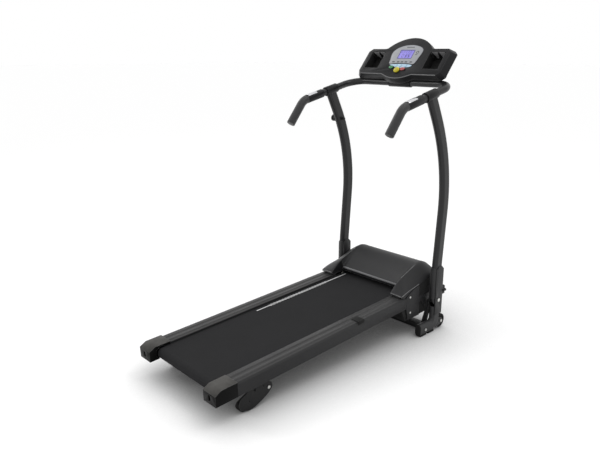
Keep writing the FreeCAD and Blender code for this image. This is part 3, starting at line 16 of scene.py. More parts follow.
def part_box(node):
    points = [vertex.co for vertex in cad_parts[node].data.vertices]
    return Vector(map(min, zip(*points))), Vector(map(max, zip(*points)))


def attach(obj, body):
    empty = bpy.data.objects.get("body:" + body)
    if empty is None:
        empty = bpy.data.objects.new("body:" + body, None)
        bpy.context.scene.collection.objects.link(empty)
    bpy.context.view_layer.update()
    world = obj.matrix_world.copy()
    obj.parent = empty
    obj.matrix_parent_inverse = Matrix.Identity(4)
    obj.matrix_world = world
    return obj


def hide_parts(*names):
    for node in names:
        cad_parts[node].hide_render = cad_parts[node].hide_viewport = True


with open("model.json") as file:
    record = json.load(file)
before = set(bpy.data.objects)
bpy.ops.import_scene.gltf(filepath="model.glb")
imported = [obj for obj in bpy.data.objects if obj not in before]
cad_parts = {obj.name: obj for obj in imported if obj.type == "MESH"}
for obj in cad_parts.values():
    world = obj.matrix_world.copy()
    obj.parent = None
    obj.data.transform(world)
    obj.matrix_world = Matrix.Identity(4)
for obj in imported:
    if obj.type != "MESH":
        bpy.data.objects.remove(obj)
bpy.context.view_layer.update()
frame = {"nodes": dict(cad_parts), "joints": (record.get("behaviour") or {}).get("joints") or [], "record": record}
nodes = frame["nodes"]
body_of_node = {n: body for body, names in frame["record"]["behaviour"]["bodies"].items() for n in names}
joint_at = {j["name"]: Vector(j["pos_m"]) for j in frame["joints"] if "pos_m" in j}
MM = 0.001
SIDES = ((-1, "left"), (1, "right"))

# %% [markdown]
# The camera comes early, because it says which details are worth making. It stands behind the
# machine on the right, a little lower than the console, and looks down along the deck. A lens
# is easier to judge than an angle of view, so the camera is given a focal length in millimetres.

# %% The camera
CAMERA_PLACE = Vector((1.6945, -1.6323, 1.1787))
CAMERA_TURN = 47.08
CAMERA_DOWN = 15.71
CAMERA_LENS = 36.81

scene = bpy.context.scene
camera_data = bpy.data.cameras.new("camera")
camera_data.sensor_width = 36.0
camera_data.lens = CAMERA_LENS
camera = bpy.data.objects.new("camera", camera_data)
camera.location = CAMERA_PLACE
camera.rotation_euler = (math.radians(90 - CAMERA_DOWN), 0, math.radians(CAMERA_TURN))
scene.collection.objects.link(camera)
scene.camera = camera
print("camera", [round(v, 3) for v in camera.location])

# %% [markdown]
# Two slanted frames of reference save a lot of arithmetic. The deck rises 3 degrees to the front,
# and the console's face leans back 50 degrees from level. Each gets a small function that turns
# its own flat coordinates into the machine's. Both are found from measured parts, so they follow
# the model if it changes.

# %% Slanted frames
DECK_TILT = math.radians(3.0)
FACE_TILT = math.radians(50.0)
ROLLER_U, ROLLER_W = 0.053, 0.0224
SCREEN_B, SCREEN_N = 0.0475, -0.0022

deck_turn = Matrix.Rotation(DECK_TILT, 3, "X")
deck_origin = Vector((0, *joint_at["rear_roller_spin"].yz)) - deck_turn @ Vector((0, ROLLER_U, ROLLER_W))
face_turn = Matrix.Rotation(FACE_TILT, 3, "X")
screen_low, screen_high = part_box("lcd_display")
face_origin = (screen_low + screen_high) / 2 - face_turn @ Vector((0, SCREEN_B, SCREEN_N))


def on_deck(x, u, w):
    """A point of the deck: across, along from its rear face, and up from the rails' lower edge."""
    return deck_origin + deck_turn @ Vector((x, u, w))


def on_face(x, b, n):
    """A point of the console: across, up its face, and out of its face."""
    return face_origin + face_turn @ Vector((x, b, n))


print("deck starts at", [round(v, 4) for v in deck_origin])
print("face starts at", [round(v, 4) for v in face_origin])

# %% [markdown]
# Shader nodes are wired by code in this file, so a few small helpers keep that readable. They add
# a node and fill in its sockets, join two nodes, and start a node group with its own named
# sockets. Results are handed on as a pair: a node and the name or number of its output. A group
# is like a function: built once, placed in many materials.

# %% Node helpers
def put(tree, kind, **sockets):
    """Adds a shader node; keyword names are socket names with _ for a space."""
    node = tree.nodes.new("ShaderNode" + kind)
    for name, value in sockets.items():
        node.inputs[name.replace("_", " ")].default_value = value
    return node


def join(tree, source, output, target, entry):
    tree.links.new(source.outputs[output], target.inputs[entry])


def feed(tree, pair, target, entry):
    """Joins a (node, output) pair to a socket."""
    join(tree, *pair, target, entry)


def new_group(name, entries, exits):
    """An empty node group and its input and output nodes."""
    group = bpy.data.node_groups.new(name, "ShaderNodeTree")
    for label, value in entries.items():
        socket = group.interface.new_socket(label, in_out="INPUT", socket_type="NodeSocketFloat")
        socket.default_value = value
    for label in exits:
        group.interface.new_socket(label, in_out="OUTPUT", socket_type="NodeSocketFloat")
    return group, group.nodes.new("NodeGroupInput"), group.nodes.new("NodeGroupOutput")


def place_group(tree, group, **entries):
    node = tree.nodes.new("ShaderNodeGroup")
    node.node_tree = group
    for label, value in entries.items():
        node.inputs[label].default_value = value
    return node


def maths(tree, operation, a=None, b=None, clamp=False):
    """A Math node's result as a pair; a and b are numbers or pairs."""
    node = tree.nodes.new("ShaderNodeMath")
    node.operation = operation
    node.use_clamp = clamp
    for entry, value in enumerate((a, b)):
        if isinstance(value, tuple):
            feed(tree, value, node, entry)
        elif value is not None:
            node.inputs[entry].default_value = value
    return node, 0


print("node helpers ready")

# %% [markdown]
# Moulded plastic is never quite smooth: the steel mould is etched with a fine grain. Two sizes of
# noise give the grain's height, and a much larger, fainter noise gives the slow change of tone
# that big mouldings show. Powder coat gets the same group with a coarser, softer grain.

# %% Group: surface grain
grain_group, grain_in, grain_out = new_group(
    "surface grain", {"Grains per metre": 900.0, "Patch size": 0.15}, ["Height", "Tone"])
where = put(grain_group, "TexCoord")
fine = put(grain_group, "TexNoise", Detail=3.0, Roughness=0.65)
join(grain_group, where, "Object", fine, "Vector")
join(grain_group, grain_in, "Grains per metre", fine, "Scale")
cells = put(grain_group, "TexVoronoi")
join(grain_group, where, "Object", cells, "Vector")
join(grain_group, grain_in, "Grains per metre", cells, "Scale")
height = maths(grain_group, "ADD", (fine, "Fac"), (cells, "Distance"))
patches_per_metre = maths(grain_group, "DIVIDE", 1.0, (grain_in, "Patch size"))
patch = put(grain_group, "TexNoise", Detail=4.0, Roughness=0.55)
join(grain_group, where, "Object", patch, "Vector")
feed(grain_group, patches_per_metre, patch, "Scale")
feed(grain_group, height, grain_out, "Height")
join(grain_group, patch, "Fac", grain_out, "Tone")
print("group", grain_group.name)

# %% [markdown]
# Hands, shoes and cloths polish the edges of a black machine a little lighter than its flats. On
# the hood and the rear caps the edge colour is much paler still, and there it is a painted
# highlight along the edges. A Bevel node gives the normal that a rounded edge would have; where it
# differs from the true normal there is an edge. A noise breaks the line up, so that it doesn't look drawn.

# %% Group: rubbed edges and painted highlight
EDGE_GAIN = 6.0
edge_group, edge_in, edge_out = new_group("rubbed edges and painted highlight", {"Width": 0.003}, ["Mask"])
rounded = put(edge_group, "Bevel")
rounded.samples = 4
join(edge_group, edge_in, "Width", rounded, "Radius")
true_normal = put(edge_group, "NewGeometry")
turned = edge_group.nodes.new("ShaderNodeVectorMath")
turned.operation = "DOT_PRODUCT"
join(edge_group, rounded, "Normal", turned, 0)
join(edge_group, true_normal, "Normal", turned, 1)
off_flat = maths(edge_group, "SUBTRACT", 1.0, (turned, "Value"))
spread = maths(edge_group, "MULTIPLY", off_flat, EDGE_GAIN, clamp=True)
where = put(edge_group, "TexCoord")
breaks = put(edge_group, "TexNoise", Scale=70.0, Detail=4.0)
join(edge_group, where, "Object", breaks, "Vector")
broken = maths(edge_group, "MULTIPLY", spread, (breaks, "Fac"))
feed(edge_group, broken, edge_out, "Mask")
print("group", edge_group.name)

# %% [markdown]
# Fine dust lies on what faces up, and the same mask paints upper faces paler, as light from above
# would make them: on the rear caps it is mostly this painted top light. The object's own up
# direction is used, so the mask stays on the same faces when the machine is folded. Cloudy noise
# thins it out in places.

# %% Group: settled dust and painted top light
LEVEL_ENOUGH = 0.55
dust_and_top_light_group, dust_and_top_light_in, dust_and_top_light_out = new_group("settled dust", {"Clouds per metre": 9.0}, ["Mask"])
where = put(dust_and_top_light_group, "TexCoord")
split = put(dust_and_top_light_group, "SeparateXYZ")
join(dust_and_top_light_group, where, "Normal", split, "Vector")
facing_up = maths(dust_and_top_light_group, "SUBTRACT", (split, "Z"), LEVEL_ENOUGH, clamp=True)
clouds = put(dust_and_top_light_group, "TexNoise", Detail=6.0, Roughness=0.7)
join(dust_and_top_light_group, where, "Object", clouds, "Vector")
join(dust_and_top_light_group, dust_and_top_light_in, "Clouds per metre", clouds, "Scale")
thin = maths(dust_and_top_light_group, "MULTIPLY", facing_up, (clouds, "Fac"))
feed(dust_and_top_light_group, thin, dust_and_top_light_out, "Mask")
print("group", dust_and_top_light_group.name)

# %% [markdown]
# Turned and rolled steel has hair lines along one direction. A noise stretched a hundredfold
# along X makes them, because most bare steel here, rollers, axles and bolts, lies along X.

# %% Group: drawn lines
line_group, line_in, line_out = new_group("drawn lines", {"Lines per metre": 700.0}, ["Height"])
where = put(line_group, "TexCoord")
stretch = put(line_group, "Mapping")
stretch.inputs["Scale"].default_value = (0.01, 1.0, 1.0)
join(line_group, where, "Object", stretch, "Vector")
lines = put(line_group, "TexNoise", Detail=2.0)
join(line_group, stretch, "Vector", lines, "Vector")
join(line_group, line_in, "Lines per metre", lines, "Scale")
join(line_group, lines, "Fac", line_out, "Height")
print("group", line_group.name)

# %% [markdown]
# Nearly every finish on the machine is one recipe with different amounts: a base colour, a
# second colour for patches, a lighter one for rubbed edges, which on some finishes is a painted
# highlight, a roughness that follows the grain, and a bump. Some finishes also get dust on their
# upper faces, partly painted top light. The recipe is a function, and each material below calls it
# with its own values.

# %% The recipe for a finish
MIX_FACTOR, MIX_FIRST, MIX_SECOND, MIX_RESULT = 0, 6, 7, 2   # a Mix node's sockets for colours
COAT_ROUGHNESS = 0.15
DUST_AND_TOP_LIGHT_COLOUR = (0.35, 0.34, 0.32)


def colour_mix(tree, factor, first, second):
    """Blends from first to second where the factor is high; a colour may be a number triple or a pair."""
    node = tree.nodes.new("ShaderNodeMix")
    node.data_type = "RGBA"
    feed(tree, factor, node, MIX_FACTOR)
    for entry, colour in ((MIX_FIRST, first), (MIX_SECOND, second)):
        if isinstance(colour[0], bpy.types.Node):
            feed(tree, colour, node, entry)
        else:
            node.inputs[entry].default_value = (*colour, 1.0)
    return node, MIX_RESULT


def start_material(name, roughness, metallic=0.0, specular=0.5, coat=0.0):
    """A new material with its node tree and its Principled shader."""
    material = bpy.data.materials.new(name)
    material.use_nodes = True
    tree = material.node_tree
    shader = tree.nodes["Principled BSDF"]
    shader.inputs["Roughness"].default_value = roughness
    shader.inputs["Metallic"].default_value = metallic
    shader.inputs["Specular IOR Level"].default_value = specular
    shader.inputs["Coat Weight"].default_value = coat
    shader.inputs["Coat Roughness"].default_value = COAT_ROUGHNESS
    return material, tree, shader


def add_bump(tree, shader, source, depth):
    """Feeds a height to the shader's normal; depth is in metres."""
    bump = put(tree, "Bump", Strength=1.0, Distance=depth)
    feed(tree, source, bump, "Height")
    join(tree, bump, "Normal", shader, "Normal")


def vary_roughness(tree, shader, source, low, high):
    """Roughness that runs from low to high with a value."""
    span = put(tree, "MapRange", To_Min=low, To_Max=high)
    feed(tree, source, span, "Value")
    join(tree, span, "Result", shader, "Roughness")


def finish_material(name, colour, patch_colour, wear_and_highlight_colour, roughness, grains, depth, coat=0.0,
                    specular=0.5, dust_and_top_light=0.0, edge_width=0.003):
    """Moulded plastic, powder coat or rubber, from the shared groups."""
    material, tree, shader = start_material(name, roughness, specular=specular, coat=coat)
    grain = place_group(tree, grain_group, **{"Grains per metre": grains})
    edges = place_group(tree, edge_group, Width=edge_width)
    surface = colour_mix(tree, (grain, "Tone"), colour, patch_colour)
    # Paler rubbed edges; on the hood and rear caps this is mostly a painted highlight.
    surface = colour_mix(tree, (edges, "Mask"), surface, wear_and_highlight_colour)
    # Dust on upper faces; on the rear caps it is mostly painted top light.
    if dust_and_top_light > 0:
        dust_and_light = place_group(tree, dust_and_top_light_group)
        amount = maths(tree, "MULTIPLY", (dust_and_light, "Mask"), dust_and_top_light)
        surface = colour_mix(tree, amount, surface, DUST_AND_TOP_LIGHT_COLOUR)
    feed(tree, surface, shader, "Base Color")
    vary_roughness(tree, shader, (grain, "Tone"), roughness - 0.06, roughness + 0.08)
    add_bump(tree, shader, (grain, "Height"), depth)
    return material


print("recipe ready")

# %% [markdown]
# The black finishes. They differ less in colour than in gloss: the steel frame is a satin powder
# coat, the rails and end caps are grained plastic that has a slight sheen, the hood and console
# are smoother, and the rubber is dead matt. Each call gives the base colour, the colour of the
# patches and that of the rubbed edges, which on the hood and end caps is a painted highlight. The
# caps' heavy dust is mostly painted top light. The grain is counted per metre, and its depth is in
# metres. Three finishes are painted light outright: a near-black matt that is painted shade, a pale
# one for painted highlights on edge beads, and a pale one for painted highlights in the wells.

# %% Black finishes
def grey(value, blue=0.0):
    return value, value, value + blue


frame_coat = finish_material("satin_frame_coat", grey(0.011, 0.001), grey(0.017, 0.001), grey(0.055),
                             roughness=0.44, grains=1400.0, depth=0.00012, specular=0.28)
tube_coat = finish_material("satin_tube_coat", grey(0.010, 0.001), grey(0.016, 0.001), grey(0.05),
                            roughness=0.30, grains=1500.0, depth=0.00006, specular=0.34)
rail_plastic = finish_material("grained_rail_plastic", grey(0.022, 0.001), grey(0.032, 0.001), grey(0.09),
                               roughness=0.42, grains=1100.0, depth=0.00013, specular=0.18, dust_and_top_light=0.16)
# Painted highlight on the caps' edges, and painted top light through their dust.
cap_plastic = finish_material("smooth_cap_plastic", grey(0.005), grey(0.009), grey(0.34),
                              roughness=0.30, grains=1500.0, depth=0.00005, specular=0.05, dust_and_top_light=0.80,
                              edge_width=0.0025)
# Its pale edge colour is a painted highlight along the hood's edges.
hood_plastic = finish_material("satin_hood_plastic", grey(0.012, 0.001), grey(0.019, 0.001), grey(0.20),
                               roughness=0.40, grains=1300.0, depth=0.00009, specular=0.26, dust_and_top_light=0.03,
                               edge_width=0.004)
console_plastic = finish_material("satin_console_plastic", grey(0.010, 0.001), grey(0.016, 0.001), grey(0.16),
                                  roughness=0.34, grains=1500.0, depth=0.00007, specular=0.15)
tray_plastic = finish_material("matt_tray_plastic", grey(0.010), grey(0.016), grey(0.03),
                               roughness=0.6, grains=900.0, depth=0.0002, specular=0.2)
rubber = finish_material("matt_rubber", grey(0.009), grey(0.015), grey(0.02),
                         roughness=0.75, grains=700.0, depth=0.0003, specular=0.2)
# Painted shade: near-black matt plates where the machine shows only shadow.
deep_shade = finish_material("unlit_recess_black", grey(0.0015), grey(0.003), grey(0.003),
                             roughness=0.9, grains=700.0, depth=0.0002, specular=0.02)
# Painted highlight: a pale finish for the bright edge beads.
painted_highlight_edge = finish_material("painted_highlight_edge_finish", grey(0.085, 0.003), grey(0.13, 0.005), grey(0.30),
                            roughness=0.30, grains=1500.0, depth=0.00004, specular=0.5)
# Painted highlight: pale wedges where light falls on the wells' upper walls.
highlight_wedge_plastic = finish_material("painted_highlight_well_plastic", grey(0.24, 0.005), grey(0.32, 0.005), grey(0.20),
                                roughness=0.34, grains=1500.0, depth=0.00005, specular=0.5)
bracket_coat = finish_material("satin_bracket_coat", grey(0.026, 0.001), grey(0.036, 0.001), grey(0.12),
                               roughness=0.44, grains=1400.0, depth=0.00010, specular=0.30)
foot_coat = finish_material("satin_foot_coat", grey(0.012), grey(0.020, 0.001), grey(0.10),
                            roughness=0.46, grains=1000.0, depth=0.00015, specular=0.20)
print("black finishes made")

# %% [markdown]
# Bare metal. Zinc-plated steel is a fairly rough metal with drawn lines; the pulse sensor's
# plates are polished and almost mirror-like.

# %% Metals
def metal_material(name, colour, roughness, line_depth):
    """Bare metal with hair lines; the colour darkens slightly in patches."""
    material, tree, shader = start_material(name, roughness, metallic=1.0)
    grain = place_group(tree, grain_group, **{"Grains per metre": 300.0, "Patch size": 0.04})
    drawn = place_group(tree, line_group)
    darker = tuple(c * 0.8 for c in colour)
    feed(tree, colour_mix(tree, (grain, "Tone"), colour, darker), shader, "Base Color")
    vary_roughness(tree, shader, (drawn, "Height"), roughness - 0.08, roughness + 0.12)
    add_bump(tree, shader, (drawn, "Height"), line_depth)
    return material


zinc_steel = metal_material("zinc_plated_steel", (0.62, 0.62, 0.60), 0.32, 0.00005)
# Painted shade: a dark steel for the rollers' axles and bearings, so their ends read dark in the gaps inside the
# rear caps.
painted_shade_steel = metal_material("painted_shade_steel", (0.06, 0.06, 0.062), 0.45, 0.00004)
polished_plate = metal_material("polished_sensor_plate", (0.72, 0.72, 0.74), 0.14, 0.00001)
print("metals made")

# %% [markdown]
# The running belt is a PVC sheet pressed with a fine diamond pattern so that soles grip it. Two
# sets of slanted ridges, made from wave textures turned against each other, cross into diamonds.
# A pale stripe is printed along the belt's left edge: a thin line at both ends and slanted dashes
# between them. It could be a separate strip, but a mask made from the coordinates stays exactly
# on the belt.

# %% Running belt
BELT_RIDGES_PER_METRE = 160.0
RIDGE_TURN = 0.6
BELT_TOP_W = 0.043
UPPER_RUN_W = 0.03
BAND_X, BAND_U = (-0.157, -0.143), (0.49, 1.03)
LINE_X, DASHED_U = (-0.153, -0.147), (0.56, 0.90)
DASHES_PER_METRE, DASH_GAP = 62.0, 0.38


def band_mask(tree, value, low, high):
    """1 where a value lies between low and high."""
    above = maths(tree, "GREATER_THAN", value, low)
    below = maths(tree, "LESS_THAN", value, high)
    return maths(tree, "MULTIPLY", above, below)


def deck_span(span):
    """Two places along the deck, as Y coordinates."""
    return [on_deck(0, u, BELT_TOP_W).y for u in span]


def stripe_mask(tree, axes):
    """1 on the printed stripe, on the upper run of the belt only."""
    across = band_mask(tree, (axes, "X"), *BAND_X)
    along = band_mask(tree, (axes, "Y"), *deck_span(BAND_U))
    slanted = maths(tree, "SUBTRACT", (axes, "Y"), (axes, "X"))
    repeats = maths(tree, "MULTIPLY", slanted, DASHES_PER_METRE)
    dash = maths(tree, "GREATER_THAN", maths(tree, "FRACT", repeats), DASH_GAP)
    middle = band_mask(tree, (axes, "Y"), *deck_span(DASHED_U))
    line = band_mask(tree, (axes, "X"), *LINE_X)
    ends = maths(tree, "SUBTRACT", line, middle, clamp=True)
    pattern = maths(tree, "MAXIMUM", maths(tree, "MULTIPLY", dash, middle), ends)
    on_band = maths(tree, "MULTIPLY", maths(tree, "MULTIPLY", across, along), pattern)
    top_only = maths(tree, "GREATER_THAN", (axes, "Z"), on_deck(0, 0, UPPER_RUN_W).z)
    return maths(tree, "MULTIPLY", on_band, top_only)


def belt_material():
    material, tree, shader = start_material("diamond_belt", 0.85, specular=0.14)
    place = put(tree, "TexCoord")
    crossed = []
    for angle in (RIDGE_TURN, -RIDGE_TURN):
        turn = put(tree, "Mapping")
        turn.inputs["Rotation"].default_value = (0, 0, angle)
        join(tree, place, "Object", turn, "Vector")
        ridges = put(tree, "TexWave", Scale=BELT_RIDGES_PER_METRE)
        join(tree, turn, "Vector", ridges, "Vector")
        crossed.append((ridges, "Fac"))
    grain = place_group(tree, grain_group, **{"Grains per metre": 1200.0, "Patch size": 0.25})
    axes = put(tree, "SeparateXYZ")
    join(tree, place, "Object", axes, "Vector")
    surface = colour_mix(tree, (grain, "Tone"), grey(0.014, 0.001), grey(0.021, 0.001))
    surface = colour_mix(tree, stripe_mask(tree, axes), surface, grey(0.55))
    feed(tree, surface, shader, "Base Color")
    add_bump(tree, shader, maths(tree, "MULTIPLY", *crossed), 0.00025)
    return material


belt_finish = belt_material()
print("belt", belt_finish.name)

# %% [markdown]
# The grips are closed-cell foam: black, soft-looking and full of tiny pits. Voronoi cells give
# the pits, and a little sheen on the shader gives the soft glow that foam has at its edges.

# %% Foam grips
def foam_material():
    material, tree, shader = start_material("grip_foam", 0.5, specular=0.4)
    shader.inputs["Sheen Weight"].default_value = 0.15
    place = put(tree, "TexCoord")
    pits = put(tree, "TexVoronoi", Scale=420.0)
    join(tree, place, "Object", pits, "Vector")
    grain = place_group(tree, grain_group, **{"Grains per metre": 600.0, "Patch size": 0.03})
    surface = colour_mix(tree, (grain, "Tone"), grey(0.016, 0.001), grey(0.030, 0.002))
    feed(tree, surface, shader, "Base Color")
    vary_roughness(tree, shader, (grain, "Tone"), 0.34, 0.56)
    add_bump(tree, shader, (pits, "Distance"), 0.0003)
    return material


grip_foam = foam_material()
print("foam", grip_foam.name)

# %% [markdown]
# Coloured plastic for the keys and prints, the silver instrument plate, the motor's paint and the
# green lacquer of the two circuit boards. They are small or hidden, but each still has its own
# slow variation and grain. Only the base colour is given: the recipe's patches and rubbed edges
# are worked out from it.

# %% Coloured finishes
def tinted(name, colour, roughness=0.35, coat=0.12, change=0.85):
    darker = tuple(c * change for c in colour)
    lighter = tuple(min(1.0, c * 1.25 + 0.02) for c in colour)
    return finish_material(name, colour, darker, lighter, roughness, grains=1600.0, depth=0.00004,
                           coat=coat, edge_width=0.001)


silver_print = tinted("silver_panel_print", (0.33, 0.34, 0.36), 0.38, 0.1, change=0.9)
blue_key = tinted("pale_blue_key", (0.42, 0.62, 0.78))
green_key = tinted("green_key", (0.025, 0.20, 0.06))
red_key = tinted("red_key", (0.42, 0.07, 0.07))
yellow_key = tinted("yellow_key", (0.80, 0.70, 0.04))
bright_yellow = tinted("bright_yellow_cap", (0.50, 0.43, 0.010), 0.35, 0.15)
pale_blue_print = tinted("pale_blue_print", (0.48, 0.66, 0.82), 0.4, 0.1)
dark_print = tinted("dark_print", (0.05, 0.05, 0.06), 0.5, 0.0)
violet_print = tinted("violet_screen_print", (0.10, 0.08, 0.30), 0.4, 0.2)
circuit_lacquer = tinted("green_circuit_lacquer", (0.03, 0.20, 0.07), 0.3, 0.4)
motor_paint = tinted("grey_motor_paint", (0.16, 0.16, 0.17), 0.45, 0.1)
print("coloured finishes made")

# %% [markdown]
# The deck board is fibreboard with a waxed face, and it is near-black at its sides, beyond a given
# distance from the middle. A noise stretched along the board gives the fibres, and a mask keeps
# them off the dark sides.

# %% Deck board
DARK_SIDE_X = 0.155
DARK_SIDE_COLOUR = (0.008, 0.008, 0.008)


def wood_material():
    material, tree, shader = start_material("waxed_board", 0.45)
    place = put(tree, "TexCoord")
    stretched = put(tree, "Mapping")
    stretched.inputs["Scale"].default_value = (1.0, 0.06, 1.0)
    join(tree, place, "Object", stretched, "Vector")
    fibres = put(tree, "TexNoise", Scale=60.0, Detail=8.0, Distortion=1.5)
    join(tree, stretched, "Vector", fibres, "Vector")
    surface = colour_mix(tree, (fibres, "Fac"), (0.30, 0.19, 0.10), (0.50, 0.36, 0.22))
    axes = put(tree, "SeparateXYZ")
    join(tree, place, "Object", axes, "Vector")
    from_middle = maths(tree, "ABSOLUTE", (axes, "X"))
    dark_sides = maths(tree, "GREATER_THAN", from_middle, DARK_SIDE_X)
    feed(tree, colour_mix(tree, dark_sides, surface, DARK_SIDE_COLOUR), shader, "Base Color")
    add_bump(tree, shader, (fibres, "Fac"), 0.0002)
    return material


waxed_board = wood_material()
print("board", waxed_board.name)

# %% [markdown]
# The display is a liquid crystal panel with a violet light behind it. The light comes through
# unevenly, so one cloudy colour feeds both the surface and its glow.

# %% Backlit screen
def screen_material():
    material, tree, shader = start_material("backlit_screen", 0.16, coat=0.2)
    place = put(tree, "TexCoord")
    glow = put(tree, "TexNoise", Scale=18.0, Detail=1.0)
    join(tree, place, "Object", glow, "Vector")
    surface = colour_mix(tree, (glow, "Fac"), (0.17, 0.15, 0.54), (0.34, 0.29, 0.78))
    feed(tree, surface, shader, "Base Color")
    feed(tree, surface, shader, "Emission Color")
    shader.inputs["Emission Strength"].default_value = 0.22
    return material


backlit_screen = screen_material()
print("materials", len(bpy.data.materials))

# %% [markdown]
# A measured part arrives with knife-sharp edges, but no real edge is sharp: the thin bright line
# along a rounded edge is what makes a black object readable. refine() copies a part, welds and
# cleans the copy, rounds its edges with a Bevel modifier and lets the copy stand for the part.

# %% Rounded copies of measured parts
SHARP_ANGLE = math.radians(35.0)
FLAT_ANGLE = math.radians(0.5)
WELD_REACH = 2e-6


def keep_piece(name, mesh_object, body, material, *stands_for):
    """Names a piece, gives it its finish and hangs it on its moving group."""
    mesh_object.name = name
    mesh_object.data.materials.clear()
    mesh_object.data.materials.append(material)
    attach(mesh_object, body)
    if stands_for:
        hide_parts(*stands_for)
    return mesh_object


def new_object(name, mesh):
    made = bpy.data.objects.new(name, mesh)
    scene.collection.objects.link(made)
    return made


def apply_modifiers(made):
    """Bakes an object's modifiers into its mesh."""
    bpy.context.view_layer.update()
    graph = bpy.context.evaluated_depsgraph_get()
    solid = bpy.data.meshes.new_from_object(made.evaluated_get(graph))
    made.modifiers.clear()
    made.data = solid


def shade_by_angle(mesh):
    """Smooth faces, with a hard line where two meet at more than the sharp angle."""
    mesh.polygons.foreach_set("use_smooth", [True] * len(mesh.polygons))
    mesh.set_sharp_from_angle(angle=SHARP_ANGLE)


def add_bevel(made, width, segments, angle):
    """Rounds an object's edges; width in millimetres."""
    bevel = made.modifiers.new("rounding", "BEVEL")
    bevel.width = width * MM
    bevel.segments = segments
    bevel.limit_method = "ANGLE"
    bevel.angle_limit = math.radians(angle)


def refine(node, material, width):
    """A welded copy of a measured part with its edges rounded; width in millimetres."""
    mesh = nodes[node].data.copy()
    built = bmesh.new()
    built.from_mesh(mesh)
    bmesh.ops.remove_doubles(built, verts=built.verts, dist=WELD_REACH)
    bmesh.ops.dissolve_limit(built, angle_limit=FLAT_ANGLE, verts=built.verts, edges=built.edges)
    built.to_mesh(mesh)
    built.free()
    mesh.materials.clear()
    made = new_object(node + "_finished", mesh)
    add_bevel(made, width, segments=2, angle=32.0)
    apply_modifiers(made)
    shade_by_angle(made.data)
    return keep_piece(node + "_finished", made, body_of_node[node], material, node)


print("copies are welded within", WELD_REACH, "m")

# %% [markdown]
# The parts whose measured shape is already right get their finish here. The tubes, the rollers,
# the belt and the parts inside keep their own mesh. So do the display and the lock pin, which
# slides in a close hole. Parts with flat faces are refined with a rounding that suits their size.

# %% Finishes for parts that keep their mesh
KEPT = {
    "upright_left": tube_coat, "upright_right": tube_coat, "handlebar": tube_coat,
    "base_legs": bracket_coat, "running_belt": belt_finish, "deck_board": waxed_board,
    # The rear roller's matt rubber and the dark steel of the axles and bearings are painted shade that keeps the
    # gaps inside the rear caps dark.
    "roller_axles": painted_shade_steel, "roller_bearings": painted_shade_steel, "rear_roller": rubber,
    "front_roller": zinc_steel, "motor_shaft": zinc_steel, "motor_body": motor_paint,
    "drive_belt": rubber, "motor_bracket": frame_coat, "cross_members": frame_coat,
    "control_board": circuit_lacquer, "console_board": circuit_lacquer,
    "lcd_display": backlit_screen, "lock_pin": console_plastic,
}
for node, material in KEPT.items():
    nodes[node].data.materials.clear()
    nodes[node].data.materials.append(material)
print(len(KEPT), "parts kept")

# %% Finishes and rounding for refined parts
REFINED = {
    "side_frame_left": (frame_coat, 0.5), "side_frame_right": (frame_coat, 0.5),
    "side_rail_left": (rail_plastic, 1.0), "side_rail_right": (rail_plastic, 1.0),
    "rail_clip": (rubber, 0.8), "rear_caps": (cap_plastic, 3.0), "motor_tray": (tray_plastic, 2.0),
    "side_panels": (rail_plastic, 1.2), "panel_screws": (zinc_steel, 0.6),
    "power_inlet": (console_plastic, 0.5), "power_switch": (rubber, 0.4),
    "foot_hangers": (frame_coat, 0.5), "deck_bolts": (zinc_steel, 0.7),
    "rear_foot_left": (frame_coat, 0.6), "rear_foot_right": (frame_coat, 0.6),
    "rear_foot_pad_left": (rubber, 1.5), "rear_foot_pad_right": (rubber, 1.5),
    "base_cross_tube": (frame_coat, 1.5), "pivot_towers": (frame_coat, 0.8),
    "upright_brackets": (bracket_coat, 0.9), "leg_plugs": (rubber, 1.5), "floor_pads": (rubber, 1.0),
    "base_bolts": (zinc_steel, 0.8),
    "transport_wheel_left": (rubber, 1.5), "transport_wheel_right": (rubber, 1.5),
    "upright_knob_left": (console_plastic, 1.5), "upright_knob_right": (console_plastic, 1.5),
    "grips": (grip_foam, 1.5), "joint_covers": (console_plastic, 1.2),
    "console_shell": (console_plastic, 3.0), "console_back": (console_plastic, 2.0),
    "key_start": (green_key, 0.8), "key_slower": (blue_key, 0.8), "key_mode": (blue_key, 0.8),
    "key_faster": (blue_key, 0.8), "key_stop": (red_key, 0.8), "safety_key": (yellow_key, 2.0),
}
for node, (material, width) in REFINED.items():
    refine(node, material, width)
print(len(REFINED), "parts refined")

# %% [markdown]
# Some visible pieces deserve more shape than their measured bodies have. Most begin as a line: a
# smooth height line through a few given points, a smooth closed outline, a circle or a rectangle.
# They could be drawn by hand, but curves worked out from a few points are easy to adjust.

# %% Tools for lines and outlines
def smooth_height(line, place):
    """Height at a place, on a smooth curve through (place, height) pairs."""
    last = len(line) - 1
    k = max(i for i in range(last) if line[i][0] <= place or i == 0)
    (x0, y0), (x1, y1) = line[k], line[k + 1]

    def slope(i):
        a, b = line[max(i - 1, 0)], line[min(i + 1, last)]
        return (b[1] - a[1]) / (b[0] - a[0])

    run = x1 - x0
    t = min(max((place - x0) / run, 0.0), 1.0)
    from_start = (2 * t ** 3 - 3 * t ** 2 + 1) * y0 + (t ** 3 - 2 * t ** 2 + t) * run * slope(k)
    from_end = (3 * t ** 2 - 2 * t ** 3) * y1 + (t ** 3 - t ** 2) * run * slope(k + 1)
    return from_start + from_end


def smooth_loop(points, steps=6):
    """A closed smooth outline through a few (x, y) points."""
    count, outline = len(points), []
    for i in range(count):
        p0, p1, p2, p3 = (Vector(points[(i + j) % count]) for j in (-1, 0, 1, 2))
        for s in range(steps):
            t = s / steps
            outline.append(tuple(0.5 * (2 * p1 + (p2 - p0) * t + (2 * p0 - 5 * p1 + 4 * p2 - p3) * t ** 2
                                        + (3 * p1 - p0 - 3 * p2 + p3) * t ** 3)))
    return outline


